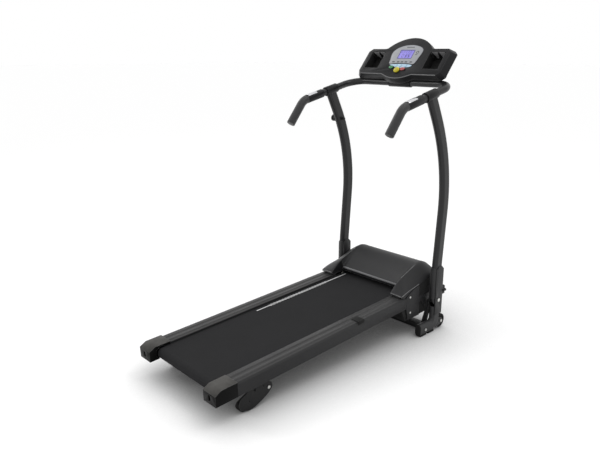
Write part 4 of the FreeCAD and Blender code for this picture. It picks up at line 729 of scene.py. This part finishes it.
def circle(x, y, radius, steps=24, stretch=1.0):
    """A closed outline; stretch widens it across, into an oval."""
    angles = [k * (2 * math.pi / steps) for k in range(steps)]
    return [(x + radius * stretch * math.cos(a), y + radius * math.sin(a)) for a in angles]


def rectangle(x, b, wide, high):
    return [(x, b), (x + wide, b), (x + wide, b + high), (x, b + high)]


print("tools for lines and outlines ready")

# %% [markdown]
# An outline becomes a piece in one of two ways. A plate is filled between its outline and its
# holes, then extruded, and a function puts it in its place on the machine. A bead is a round
# section swept along a curve. A skin of quads through rows of points, such as the hood's, gets the
# wall thickness of a real moulding from a Solidify modifier.

# %% Tools for plates, skins and beads
def finish_mesh(name, built, body, material, stands_for, wall=0.0, rounding=0.0):
    """Turns a bmesh in metres into a finished piece; wall and rounding in millimetres."""
    bmesh.ops.remove_doubles(built, verts=built.verts, dist=1e-6)
    bmesh.ops.recalc_face_normals(built, faces=built.faces)
    mesh = bpy.data.meshes.new(name)
    built.to_mesh(mesh)
    built.free()
    made = new_object(name, mesh)
    if wall:
        shell = made.modifiers.new("wall", "SOLIDIFY")
        shell.thickness = wall * MM
        shell.offset = -1.0
    if rounding:
        add_bevel(made, rounding, segments=3, angle=30.0)
    if wall or rounding:
        apply_modifiers(made)
    shade_by_angle(made.data)
    return keep_piece(name, made, body, material, *stands_for)


def cut_plate(name, outline, holes, low, high, place, body, material, *stands_for, rounding=0.0):
    """A plate between two heights, drawn flat in millimetres and put in place by a function."""
    built = bmesh.new()
    for loop in [outline, *holes]:
        corners = [built.verts.new((x, y, low)) for x, y in loop]
        for a, b in zip(corners, corners[1:] + corners[:1]):
            built.edges.new((a, b))
    bmesh.ops.triangle_fill(built, use_beauty=True, edges=list(built.edges))
    lifted = bmesh.ops.extrude_face_region(built, geom=list(built.faces))
    moved = [item for item in lifted["geom"] if isinstance(item, bmesh.types.BMVert)]
    bmesh.ops.translate(built, verts=moved, vec=(0, 0, high - low))
    for vert in built.verts:
        vert.co = place(*(vert.co * MM))
    return finish_mesh(name, built, body, material, stands_for, rounding=rounding)


def bead(name, points, radius, body, material):
    """A round bead along a smooth curve guided by points in metres; radius in millimetres."""
    curve = bpy.data.curves.new(name, "CURVE")
    curve.dimensions = "3D"
    line = curve.splines.new("NURBS")
    line.points.add(len(points) - 1)
    for dot, point in zip(line.points, points):
        dot.co = (*point, 1.0)
    line.order_u = 3
    line.use_endpoint_u = True
    curve.bevel_depth = radius * MM
    curve.bevel_resolution = 3
    curve.use_fill_caps = True
    made = new_object(name, curve)
    graph = bpy.context.evaluated_depsgraph_get()
    swept = bpy.data.meshes.new_from_object(made.evaluated_get(graph))
    bpy.data.objects.remove(made)
    solid = new_object(name, swept)
    shade_by_angle(solid.data)
    return keep_piece(name, solid, body, material)


print("tools for plates, skins and beads ready")

# %% [markdown]
# The hood is one big moulding. Its middle is sunk a little and slopes up from the belt; a rounded
# arm runs back along each rail, highest on its inner edge. A box under a Subdivision modifier
# would blur its creases, so rows of points are laid across the hood every few millimetres. The
# heights come from three smooth lines: the arm's inner ridge, its outer edge and the sunk middle.
# The skin skips the space between the arms, where the belt is.

# %% Hood
deck_body = body_of_node["motor_cover"]
HOOD_U = 1060.0
RIDGE_LINE = [(-100, 66), (-92, 75), (-49, 104), (15, 127), (82, 146), (115, 147), (145, 136)]
OUTER_LINE = [(-100, 63), (-92, 66), (-53, 76), (-1, 83), (52, 95), (100, 109), (145, 106)]
MIDDLE_LINE = [(-30, 81), (20, 112), (82, 143.5), (115, 146.5), (145, 135)]
HOOD_TIP, HOOD_MOUTH, HOOD_FRONT = -100.0, -30.0, 145.0
HOOD_SIDE, RIDGE_X, MIDDLE_X = 236.0, 175.0, 162.0
ARM_FLOOR, HOOD_FLOOR, LIP_FLOOR = 52.6, 27.5, 60.0
TIP_FLOOR, TIP_END = 57.0, -86.0
ARM_INSIDE, SHOULDER_X = 172.4, 172.6
HOOD_WALL = 2.4
ARM_PLACES = [HOOD_TIP, -98, -95, -92, -86, -78, -68, -58, -49, -40, -34, HOOD_MOUTH]
HOOD_PLACES = [HOOD_MOUTH, -24, -16, -6, 5, 16, 28, 40, 52, 64, 74, 82, 92, 104, 115, 126, 136, 142,
               HOOD_FRONT]
LIP_PROFILE = [(-32.5, 78.5), (-34.0, 74.0), (-34.0, 67.0), (-32.0, LIP_FLOOR)]


def hood_point(x, place, height):
    """A point of the hood from millimetres: across, along the hood, and up from the deck."""
    return on_deck(x * MM, (HOOD_U + place) * MM, height * MM)


def hood_row(place, open_middle):
    """(x, height) pairs from the left wall's foot to the middle, at one place along the hood."""
    ridge, outer = smooth_height(RIDGE_LINE, place), smooth_height(OUTER_LINE, place)
    foot = TIP_FLOOR if place < TIP_END else ARM_FLOOR if open_middle else HOOD_FLOOR
    row = [(HOOD_SIDE, foot), (HOOD_SIDE, max(outer - 3.2, foot + 0.1)),
           (HOOD_SIDE - 1.2, max(outer - 0.8, foot + 0.2))]
    for share in (0.08, 0.3, 0.55, 0.8, 0.96):
        crown = 1.6 * math.sin(math.pi * share)
        row.append((HOOD_SIDE + (RIDGE_X - HOOD_SIDE) * share, outer + (ridge - outer) * share + crown))
    row.append((RIDGE_X, ridge - 1.2))
    if open_middle:
        row += [(SHOULDER_X, ridge - 4.0), (ARM_INSIDE, (ridge + foot) / 2), (ARM_INSIDE, foot)]
    else:
        middle = smooth_height(MIDDLE_LINE, place)
        row += [(SHOULDER_X, ridge - (ridge - middle) * 0.45), (MIDDLE_X + 3, middle + 1.0),
                (MIDDLE_X, middle)]
    return row


def build_hood():
    built = bmesh.new()
    rows = [(place, True) for place in ARM_PLACES] + [(place, False) for place in HOOD_PLACES]
    lines = []
    for place, is_arm in rows:
        half_row = hood_row(place, is_arm)
        if place == HOOD_FRONT:
            half_row = half_row[:1] + [(x, height - 2.0) for x, height in half_row[1:]]
        line = {}
        for side in (-1, 1):
            line[side] = [built.verts.new(hood_point(side * x, place, height)) for x, height in half_row]
        lines.append((line, is_arm))
    for (line_a, arm_a), (line_b, _) in zip(lines, lines[1:]):
        for side in (-1, 1):
            a, b = line_a[side], line_b[side]
            for k in range(len(a) - 1):
                built.faces.new((a[k], a[k + 1], b[k + 1], b[k]))
        if not arm_a:
            built.faces.new((line_a[-1][-1], line_a[1][-1], line_b[1][-1], line_b[-1][-1]))
    tip = lines[0][0]
    for side in (-1, 1):
        built.faces.new(tip[side])
    front = lines[-1][0]
    built.faces.new(front[-1] + front[1][::-1])
    mouth = next(line for line, is_arm in lines if not is_arm)
    above = (mouth[-1][-1], mouth[1][-1])
    for place, height in LIP_PROFILE:
        below = tuple(built.verts.new(hood_point(side * MIDDLE_X, place, height)) for side in (-1, 1))
        built.faces.new((above[0], above[1], below[1], below[0]))
        above = below
    return finish_mesh("hood_shell", built, deck_body, hood_plastic, ["motor_cover"], wall=HOOD_WALL)


hood = build_hood()
print("hood faces", len(hood.data.polygons))

# %% [markdown]
# The skin's front wall ends above the belly tray. On the real hood an apron goes on down to it.
# The apron is flat, so it is a plate cut from a rectangle and set just inside the front wall.

# %% Hood apron
APRON_HALF, APRON_LOW, APRON_TOP = 234.0, 2.9, 29.0
APRON_BACK, APRON_FACE = -2.6, -0.2


def on_hood_front(x, w, out):
    return on_deck(x, (HOOD_U + HOOD_FRONT) * MM + out, w)


apron = rectangle(-APRON_HALF, APRON_LOW, 2 * APRON_HALF, APRON_TOP - APRON_LOW)
cut_plate("hood_apron", apron, [], APRON_BACK, APRON_FACE, on_hood_front, deck_body, hood_plastic,
          rounding=0.5)
print("apron height", APRON_TOP - APRON_LOW, "mm")

# %% [markdown]
# Light catches the hood along four kinds of edge: the lip over the belt, the tip of each arm, the
# arm's outer edge and the step beside the sunk middle. They are slightly raised, so they are
# modelled as beads, and their paler finish is a painted highlight. On each side wall, beside the
# upright, a thin dark matt plate is painted shade where the wall lies in shadow.

# %% Hood edges
EDGE_STEPS = [-99, -92, -80, -66, -53, -36, -18, 0, 16]
RIDGE_STEPS = [-28, -10, 8, 26, 44, 62]
LIP_STEPS, LIP_PLACE, LIP_HEIGHT = (-161, -80, 0, 80, 161), -31.0, 74.5
TIP_POINTS, TIP_PLACE = ((175.5, 63.4), (205, 63.2), (233, 61.0)), -99.0
PAINTED_SHADE_FIELD = [(HOOD_U + 16, HOOD_FLOOR + 1), (HOOD_U + 143, HOOD_FLOOR + 1), (HOOD_U + 143, 100),
          (HOOD_U + 104, 104), (HOOD_U + 52, 90), (HOOD_U + 16, 82)]
lip = [hood_point(x, LIP_PLACE, LIP_HEIGHT) for x in LIP_STEPS]
bead("hood_lip", lip, 5.4, deck_body, painted_highlight_edge)
for side, side_name in SIDES:
    edge = [hood_point(side * (HOOD_SIDE - 0.6), place, smooth_height(OUTER_LINE, place) - 0.8)
            for place in EDGE_STEPS]
    bead("hood_edge_" + side_name, edge, 1.2, deck_body, painted_highlight_edge)
    tip = [hood_point(side * x, TIP_PLACE, height) for x, height in TIP_POINTS]
    bead("hood_tip_" + side_name, tip, 2.6, deck_body, painted_highlight_edge)
    step = [hood_point(side * (RIDGE_X - 0.6), place, smooth_height(RIDGE_LINE, place) - 1.0)
            for place in RIDGE_STEPS]
    bead("hood_step_" + side_name, step, 0.9, deck_body, painted_highlight_edge)

    def on_wall(u, w, out):
        return on_deck(side * (HOOD_SIDE * MM + out), u, w)

    # Painted shade: a dark matt plate on the side wall where it lies in shadow.
    cut_plate("hood_painted_shade_" + side_name, PAINTED_SHADE_FIELD, [], 0.1, 0.9, on_wall, deck_body, rubber)
print("hood edges made")

# %% [markdown]
# The instrument plate is a thin printed sheet with a rounded outline and a window for the screen.
# Its words are left out; short bars stand where its printed labels are. Below it lies the pale
# blue key strip, cut round the three middle keys. A texture could carry the print, but thin plates
# cut from outlines keep sharp edges at any distance.

# %% Instrument plate and key strip
console_body = body_of_node["console_shell"]
PLATE_POINTS = [(-63, -3), (-69, 18), (-75.5, 44), (-74, 62), (-60, 79), (-32, 92), (0, 96.5), (32, 94),
                (60, 85), (76, 72), (78.5, 56), (74, 30), (65, -2), (40, -1), (0, 0.5), (-35, -0.5)]
WINDOW = [(-35.3, 26.7), (35.3, 26.7), (35.3, 68.3), (-35.3, 68.3)]
STRIP_POINTS = [(-58, -8), (-30, -5), (0, -4), (30, -5), (58, -9), (53, -17), (30, -21.5), (3, -23),
                (-22, -21.5), (-31.5, -17.3), (-38, -14), (-50, -12.5)]
KEY_PLACES, KEY_ROOM = ((-22, -13), (3, -12), (28, -13)), 7.1
PLATE_LEVELS, RIM_LEVELS, STRIP_LEVELS = (0.1, 1.3), (0.05, 0.9), (0.05, 0.45)
plate_outline = smooth_loop(PLATE_POINTS)
cut_plate("instrument_plate", plate_outline, [WINDOW], *PLATE_LEVELS, on_face, console_body,
          silver_print, "console_panel", rounding=0.3)
rim = smooth_loop([(x * 1.035, 46 + (b - 46) * 1.045) for x, b in PLATE_POINTS])
cut_plate("plate_rim", rim, [plate_outline], *RIM_LEVELS, on_face, console_body, dark_print)
key_rooms = [circle(x, b, KEY_ROOM) for x, b in KEY_PLACES]
cut_plate("key_strip", smooth_loop(STRIP_POINTS), key_rooms, *STRIP_LEVELS, on_face, console_body,
          pale_blue_print)
print("plate, rim and key strip made")

# %% Label bars
LABEL_PLACES, LABEL_LOW, LABEL_WIDE, LABEL_HIGH = (-46, -21, 0, 21, 46), 3.4, 13, 6.0
TITLE_BAR, SIDE_BAR = (-14, 83.4, 40, 3.6), (48, 44, 12, 2.6)
DIAL_PLACE, DIAL_OUTSIDE, DIAL_INSIDE = (55, 58), 7.0, 4.0
LABEL_LEVELS = (1.25, 1.4)
labels = [rectangle(x - LABEL_WIDE / 2, LABEL_LOW, LABEL_WIDE, LABEL_HIGH) for x in LABEL_PLACES]
labels.append(rectangle(*TITLE_BAR))
labels += [circle(*DIAL_PLACE, DIAL_OUTSIDE), circle(*DIAL_PLACE, DIAL_INSIDE), rectangle(*SIDE_BAR)]
cut_plate("plate_labels", labels[0], labels[1:], *LABEL_LEVELS, on_face, console_body, dark_print)
print("marks", len(labels))

# %% [markdown]
# The screen shows plain digits built from seven bars each, the way a liquid crystal display
# does, inside a thin violet frame. A text object could write them, but its letters would not
# look like a display's. The plate tool cuts all the bars at once, as one piece.

# %% Screen digits
SEGMENTS = {"0": "abcdef", "3": "abcdg", "5": "acdfg"}
LEVEL_BARS = "adg"
BIG_DIGIT, SMALL_DIGIT = (31, 10, 19, 2.0), (56, 5.5, 8.5, 1.1)
DIGIT_LEVELS, FRAME_LEVELS = (0.62, 0.8), (1.2, 1.9)


def digit_bars(value, x, b, wide, high, thick):
    """The bars of one digit, by the usual letters; the level ones are cut short at both ends."""
    half = high / 2
    tall = half - thick - 1.2
    right, upper, lower = x + wide - thick, b + half + 0.7, b + thick + 0.5
    spots = {"a": (x, b + high - thick, wide, thick), "g": (x, b + half - thick / 2, wide, thick),
             "d": (x, b, wide, thick), "f": (x, upper, thick, tall), "b": (right, upper, thick, tall),
             "e": (x, lower, thick, tall), "c": (right, lower, thick, tall)}
    lit = [(name, spot) for name, spot in spots.items() if name in SEGMENTS[value]]
    return [rectangle(sx + 0.35, sb, sw - 0.7, sh) if name in LEVEL_BARS else rectangle(sx, sb, sw, sh)
            for name, (sx, sb, sw, sh) in lit]


bars = []
for place, value in ((-20, "0"), (-4, "3"), (12, "5")):
    bars += digit_bars(value, place, *BIG_DIGIT)
for place in (-30, -18, -6, 6, 18):
    bars += digit_bars("0", place, *SMALL_DIGIT)
cut_plate("screen_digits", bars[0], bars[1:], *DIGIT_LEVELS, on_face, console_body, violet_print)
frame_outline = [(-38, 24), (38, 24), (38, 71), (-38, 71)]
cut_plate("screen_frame", frame_outline, [WINDOW], *FRAME_LEVELS, on_face, console_body, violet_print,
          rounding=0.3)
print("digit bars", len(bars))

# %% [markdown]
# The start and stop buttons are wide ovals, moulded on the same stems as the round ones, and the
# safety key has a bright cap. Each cap is a plate cut from a stretched circle. It rides with its
# own key, so it moves when the key is pressed or pulled.

# %% Oval button caps
OVAL_RADIUS, OVAL_STEPS, OVAL_LEVELS = 7.6, 32, (1.7, 3.6)
SAFETY_RADIUS, SAFETY_LEVELS = 9.5, (7.4, 9.6)
OVALS = [("key_start", -43, -23, 1.55, green_key), ("key_stop", 22, -31, 1.75, red_key)]
for node, x, b, stretch, finish in OVALS:
    oval = circle(x, b, OVAL_RADIUS, OVAL_STEPS, stretch)
    cut_plate(node + "_oval", oval, [], *OVAL_LEVELS, on_face, body_of_node[node], finish, rounding=0.9)
safety_oval = circle(-4, -38, SAFETY_RADIUS, OVAL_STEPS, 1.15)
cut_plate("safety_key_cap", safety_oval, [], *SAFETY_LEVELS, on_face, body_of_node["safety_key"],
          bright_yellow, rounding=1.0)
print("button caps made")

# %% [markdown]
# A bottle stands in each well at the console's ends. The well's upper wall carries three dark fins
# that stiffen it and keep the bottle from turning. Between them two pale wedges, wide at the rim and
# narrow at the floor, are a painted highlight where light falls on the upper wall. The other walls
# are lined with matt black. All of it is thin plates laid inside the measured well, so each can
# have a finish of its own.

# %% Well liners
WELL_INNER, WELL_OUTER, WELL_LOW, WELL_HIGH = 119.2, 195.4, -25.8, 61.8
LINER_WALL, WELL_DEPTH = 0.6, 45.8
FIN_PLACES, FIN_HALF, FIN_HEIGHT = (123.0, 156.5, 192.0), 2.6, 8.0
HIGHLIGHT_WEDGES, WEDGE_THICK = ((127.0, 153.5, 140.0, -40.0), (159.5, 189.5, 172.0, -43.0)), 1.2
liner_low, liner_high = WELL_LOW + LINER_WALL, WELL_HIGH - LINER_WALL
FLOOR_TOP, RIM_ROOM = 1.0 - WELL_DEPTH, -3.0
for side, side_name in SIDES:
    def across(pairs):
        return [(side * x, b) for x, b in pairs]

    outside = across([(WELL_INNER, WELL_LOW), (WELL_OUTER, WELL_LOW), (WELL_OUTER, WELL_HIGH),
                      (WELL_INNER, WELL_HIGH)])
    room = across([(WELL_INNER + LINER_WALL, liner_low), (WELL_OUTER - LINER_WALL, liner_low),
                   (WELL_OUTER - LINER_WALL, liner_high), (WELL_INNER + LINER_WALL, liner_high)])
    cut_plate("well_liner_" + side_name, outside, [room], -WELL_DEPTH, RIM_ROOM, on_face, console_body,
              rubber)
    cut_plate("well_floor_" + side_name, room, [], -WELL_DEPTH, FLOOR_TOP, on_face, console_body, rubber)

    def on_upper_wall(x, n, out):
        return on_face(x, liner_high * MM - out, n)

    # Painted highlight: the pale wedges on the upper wall.
    highlight_wedges = [across([(first, -2.0), (last, -2.0), (tip + 3.0, deep), (tip - 3.0, deep)])
              for first, last, tip, deep in HIGHLIGHT_WEDGES]
    cut_plate("well_painted_highlight_" + side_name, highlight_wedges[0], highlight_wedges[1:], 0.0, WEDGE_THICK, on_upper_wall,
              console_body, highlight_wedge_plastic)
    fins = [across([(x - FIN_HALF, liner_high - 1.2), (x + FIN_HALF, liner_high - 1.2),
                    (x, liner_high - FIN_HEIGHT)]) for x in FIN_PLACES]
    cut_plate("well_fins_" + side_name, fins[0], fins[1:], FLOOR_TOP, -2.5, on_face, console_body,
              console_plastic, rounding=0.8)
print("well liners made")

# %% [markdown]
# A raised lip runs along the lower edge of the console's face, straight under the wings and
# round under the keys. It is the brightest line on the console: its pale finish is a painted
# highlight. Its round top comes from a bead swept along the edge; the chin's curve is an arc
# through its lowest point and its two ends.

# %% Console lip
CHIN_HALF, CHIN_LOW, WING_LOW, LIP_END = 77.0, -77.5, -56.5, 201.0
chin_radius = (CHIN_HALF ** 2 + (WING_LOW - CHIN_LOW) ** 2) / (2 * (WING_LOW - CHIN_LOW))
chin_places = [CHIN_HALF * k / 6 for k in range(-5, 6)]
chin = [(x, CHIN_LOW + chin_radius - math.sqrt(chin_radius ** 2 - x ** 2)) for x in chin_places]
wing = [(x, WING_LOW) for x in (80, 86, 110, 150, LIP_END)]
lip_line = [(-x, b) for x, b in reversed(wing)] + chin + wing
bead("console_lip", [on_face(x * MM, b * MM, -0.0012) for x, b in lip_line], 1.9, console_body, painted_highlight_edge)
print("console lip points", len(lip_line))

# %% [markdown]
# The pulse grips sit a little nearer the bend than their clamps. A copy of each measured part is
# stretched or slid along the handle's slope; nothing across the slope changes. To move the points
# of a copy is simpler than to build the grip again, and its section stays true.

# %% Pulse grips
SLOPE = math.radians(13.0)
towards_user = Vector((0, -math.cos(SLOPE), -math.sin(SLOPE)))
SLIDE = 0.032


def slide_copy(node, material, only_far_half):
    piece = refine(node, material, 0.8)
    runs = [vert.co.dot(towards_user) for vert in piece.data.vertices]
    middle = (min(runs) + max(runs)) / 2
    for vert, run in zip(piece.data.vertices, runs):
        if run > middle or not only_far_half:
            vert.co += towards_user * SLIDE
    return piece


slide_copy("pulse_sensors", console_plastic, True)
slide_copy("sensor_plates", polished_plate, False)
print("pulse grips made")

# %% [markdown]
# Each leg's rear end is held by one bright bolt through its outer side. Only the bolt's head
# shows, so it is a small disc with a rounded rim, cut with the plate tool.

# %% Leg bolts
LEG_BOLT_Y, LEG_BOLT_Z, LEG_BOLT_RADIUS = 0.034, 0.027, 6.0
leg_low, leg_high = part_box("base_legs")
for side, side_name in SIDES:
    def on_leg(a, b, out):
        return Vector((side * (leg_high.x + out), leg_low.y + LEG_BOLT_Y + a, LEG_BOLT_Z + b))

    cut_plate("leg_bolt_" + side_name, circle(0, 0, LEG_BOLT_RADIUS), [], -1.0, 2.6, on_leg,
              body_of_node["base_legs"], zinc_steel, rounding=1.1)
print("leg bolts made")

# %% [markdown]
# Each rear foot has a broad pressed plate on its outer side. It is cut from one outline with
# lightening holes, and a smaller plate behind it stands for the boss that joins it to the foot.
# Joined discs could give the shape too, but one smooth outline flows better round its corners.

# %% Foot plates
foot_pivot = joint_at["rear_foot_right_fold"]
PLATE_LINE = [(26, 6), (17, 18), (-1, 26), (-28, 29), (-55, 27), (-75, 19), (-93, 7), (-113, -4),
              (-119, -27), (-108, -45), (-84, -55), (-57, -55), (-26, -43), (4, -27), (24, -9)]
BOSS_LINE = [(-60, 10), (-82, 4), (-100, -8), (-106, -27), (-96, -42), (-76, -48), (-58, -44),
             (-46, -30), (-44, -6)]
PLATE_HOLES = [(-13, 11, 3.0), (-75, -25, 3.2), (-50, 10, 6.0)]
HEAD_PLACE, HEAD_RADIUS, HEAD_HEIGHT = (10, -2), 6.0, 2.4
PLATE_INSIDE, PLATE_OUTSIDE, FOOT_OUTSIDE = 0.2241, 0.2266, 0.2188
depths = [(value - FOOT_OUTSIDE) / MM for value in (PLATE_INSIDE, PLATE_OUTSIDE)]
holes = [circle(*hole) for hole in PLATE_HOLES]
for side, side_name in SIDES:
    def on_foot(a, b, out):
        return Vector((side * (FOOT_OUTSIDE + out), foot_pivot.y + a, foot_pivot.z + b))

    foot_body = body_of_node["rear_foot_" + side_name]
    cut_plate("foot_plate_" + side_name, smooth_loop(PLATE_LINE), holes, *depths, on_foot, foot_body,
              foot_coat, rounding=0.7)
    cut_plate("foot_boss_" + side_name, smooth_loop(BOSS_LINE), [], 0.0, depths[0], on_foot, foot_body,
              rubber)
    head_levels = (depths[1], depths[1] + HEAD_HEIGHT)
    cut_plate("foot_bolt_head_" + side_name, circle(*HEAD_PLACE, HEAD_RADIUS), [], *head_levels, on_foot,
              foot_body, zinc_steel, rounding=1.0)
print("foot plates made")

# %% [markdown]
# The lower end of each upright wears a thin pale sleeve on its round rear side, where it beds in
# its bracket. A wider tube would show on every side, so its outline is a slim arc, extruded along
# the upright.

# %% Upright sleeves
SLEEVE_IN, SLEEVE_OUT, SLEEVE_CENTRE, SLEEVE_EDGE = 14.05, 14.9, -12.0, 36
POST_X = 272.0
SLEEVE_LOW, SLEEVE_HIGH = 0.152, 0.290
turns = [math.radians(SLEEVE_EDGE + (180 - 2 * SLEEVE_EDGE) * k / 12) for k in range(13)]
arc_out = [(SLEEVE_OUT * math.cos(t), SLEEVE_CENTRE - SLEEVE_OUT * math.sin(t)) for t in turns]
arc_in = [(SLEEVE_IN * math.cos(t), SLEEVE_CENTRE - SLEEVE_IN * math.sin(t)) for t in reversed(turns)]
for side, side_name in SIDES:
    def on_post(x, y, z):
        return Vector((side * (POST_X * MM + x), joint_at["uprights_fold"].y + y, z))

    cut_plate("upright_sleeve_" + side_name, arc_out + arc_in, [], SLEEVE_LOW / MM, SLEEVE_HIGH / MM,
              on_post, body_of_node["upright_right"], bracket_coat)
print("upright sleeves made")

# %% [markdown]
# Behind the slot in each rear cap the machine shows only darkness. A small near-black matt plate
# inside the cap and a near-black lining in the slot are painted shade that keeps the slot dark. A
# second such plate, beside the end of the roller, is painted shade that closes the view through the
# hollow cap. To fill the cap would lose the slot's depth.

# %% Slot shades
SLOT_X, SLOT_HALF, SLOT_LOW, SLOT_HIGH, SLOT_WALL = 207.0, 5.0, 13.4, 33.4, 0.4
SHADE_BACK, SHADE_FACE, SLOT_MOUTH = 3.4, 2.7, 0.1
CAP_ROOM_X, AXLE_ROOM = 0.1752, 9.0
behind_slot = rectangle(SLOT_X - 14, 2, 28, 36)
outside = rectangle(SLOT_X - SLOT_HALF, SLOT_LOW, 2 * SLOT_HALF, SLOT_HIGH - SLOT_LOW)
inside = rectangle(SLOT_X - SLOT_HALF + SLOT_WALL, SLOT_LOW + SLOT_WALL, 2 * SLOT_HALF - 2 * SLOT_WALL,
                   SLOT_HIGH - SLOT_LOW - 2 * SLOT_WALL)
beside_roller = rectangle(4, 1, 88, 38)
axle_room = circle(ROLLER_U / MM, ROLLER_W / MM, AXLE_ROOM)
for side, side_name in SIDES:
    def on_cap(x, w, depth):
        return on_deck(side * x, depth, w)

    cut_plate("slot_shade_" + side_name, behind_slot, [], SHADE_FACE, SHADE_BACK, on_cap, deck_body,
              deep_shade)
    cut_plate("slot_shade_lining_" + side_name, outside, [inside], SLOT_MOUTH, SHADE_FACE, on_cap, deck_body,
              deep_shade)

    def on_cap_side(u, w, out):
        return on_deck(side * (CAP_ROOM_X + out), u, w)

    cut_plate("roller_shade_" + side_name, beside_roller, [axle_room], 0.0, 1.0, on_cap_side, deck_body,
              deep_shade)
print("slot shades made")

# %% [markdown]
# Studio light for a black product needs a white surround that every glossy edge can mirror. An
# image of a studio could give it, but a plain world is easier to control. The camera and
# mirror-like rays see a pure white world. The rays that light the machine see a dimmer one, dark
# at the horizon and brighter overhead, so that upper faces stand out.

# %% World light
HORIZON_LIGHT = 0.42
ZENITH_LIGHT = 1.25
WHITE = (1, 1, 1, 1)


def camera_like_rays(tree):
    """1 for rays from the camera and those seen in gloss or through glass."""
    path = put(tree, "LightPath")
    first = maths(tree, "MAXIMUM", (path, "Is Camera Ray"), (path, "Is Glossy Ray"))
    return maths(tree, "MAXIMUM", first, (path, "Is Transmission Ray"))


world = bpy.data.worlds.new("studio")
world.use_nodes = True
scene.world = world
sky = world.node_tree
background = sky.nodes["Background"]
background.inputs["Color"].default_value = WHITE
direction = put(sky, "TexCoord")
up_part = put(sky, "SeparateXYZ")
join(sky, direction, "Generated", up_part, "Vector")
overhead = put(sky, "MapRange", To_Min=HORIZON_LIGHT, To_Max=ZENITH_LIGHT)
join(sky, up_part, "Z", overhead, "Value")
seen = camera_like_rays(sky)
unseen = maths(sky, "SUBTRACT", 1.0, seen)
lit = maths(sky, "MULTIPLY", (overhead, "Result"), unseen)
feed(sky, maths(sky, "ADD", lit, seen), background, "Strength")
print("world light from", HORIZON_LIGHT, "to", ZENITH_LIGHT)

# %% [markdown]
# Three soft disc lamps add direction: a key lamp high over the front right, a weaker lamp high on
# the left, and a stronger one behind on the left that draws the edges turned to it. Discs are
# chosen because their soft round edge leaves no hard corner in the gloss of the plastic.

# %% Lamps
LAMPS = {
    # name: place, what it points at, width in metres, power in watts
    "key_lamp": ((1.2, 0.6, 3.4), (0, 0, 0.4), 1.2, 10.0),
    "far_lamp": ((-2.4, 0.4, 2.6), (0, 0, 0.5), 1.0, 7.0),
    "rear_lamp": ((-2.6, -2.7, 2.0), (0.2, -0.6, 0.1), 0.9, 26.0),
}
for name, (place, aim, size, power) in LAMPS.items():
    lamp = bpy.data.lights.new(name, "AREA")
    lamp.shape = "DISK"
    lamp.size = size
    lamp.energy = power
    made = new_object(name, lamp)
    made.location = place
    made.rotation_euler = (Vector(place) - Vector(aim)).to_track_quat("Z", "Y").to_euler()
print("lamps", len(bpy.data.lights))

# %% [markdown]
# The floor is a large pale sheet. Seen directly it must be as white as the background, yet keep
# the machine's soft shadow. So its colour is a mid grey for the light that bounces, and nearly
# white with a slight glow for the rays that the camera sees. An Ambient Occlusion node darkens
# that white near the machine, which deepens the shadow under it.

# %% Floor
FLOOR_HALF, FLOOR_DROP = 60.0, 0.0004
SHADOW_REACH, SHADOW_DEPTH, SHADOW_SAMPLES = 1.0, 0.8, 8
BOUNCE_GREY, SEEN_WHITE, FLOOR_GLOW = 0.45, 0.97, 0.05
floor_mesh = bpy.data.meshes.new("floor")
corners = [(x * FLOOR_HALF, y * FLOOR_HALF, -FLOOR_DROP) for x, y in ((-1, -1), (1, -1), (1, 1), (-1, 1))]
floor_mesh.from_pydata(corners, [], [(0, 1, 2, 3)])
floor = new_object("floor", floor_mesh)
floor_finish, floor_tree, floor_shader = start_material("pale_floor", 0.9, specular=0.0)
seen = camera_like_rays(floor_tree)
near = put(floor_tree, "AmbientOcclusion", Distance=SHADOW_REACH)
near.samples = SHADOW_SAMPLES
deepened = maths(floor_tree, "POWER", (near, "AO"), SHADOW_DEPTH)
white_floor = colour_mix(floor_tree, deepened, grey(0.0), grey(SEEN_WHITE))
floor_colour = colour_mix(floor_tree, seen, grey(BOUNCE_GREY), white_floor)
feed(floor_tree, floor_colour, floor_shader, "Base Color")
floor_shader.inputs["Emission Color"].default_value = WHITE
floor_glow = put(floor_tree, "MapRange", To_Min=0.0, To_Max=FLOOR_GLOW)
feed(floor_tree, seen, floor_glow, "Value")
join(floor_tree, floor_glow, "Result", floor_shader, "Emission Strength")
floor.data.materials.append(floor_finish)
print("floor", floor_finish.name)

# %% [markdown]
# The last settings keep the colours as they are written: the Standard view transform, with no
# look on top.

# %% Finish
scene.view_settings.view_transform = "Standard"
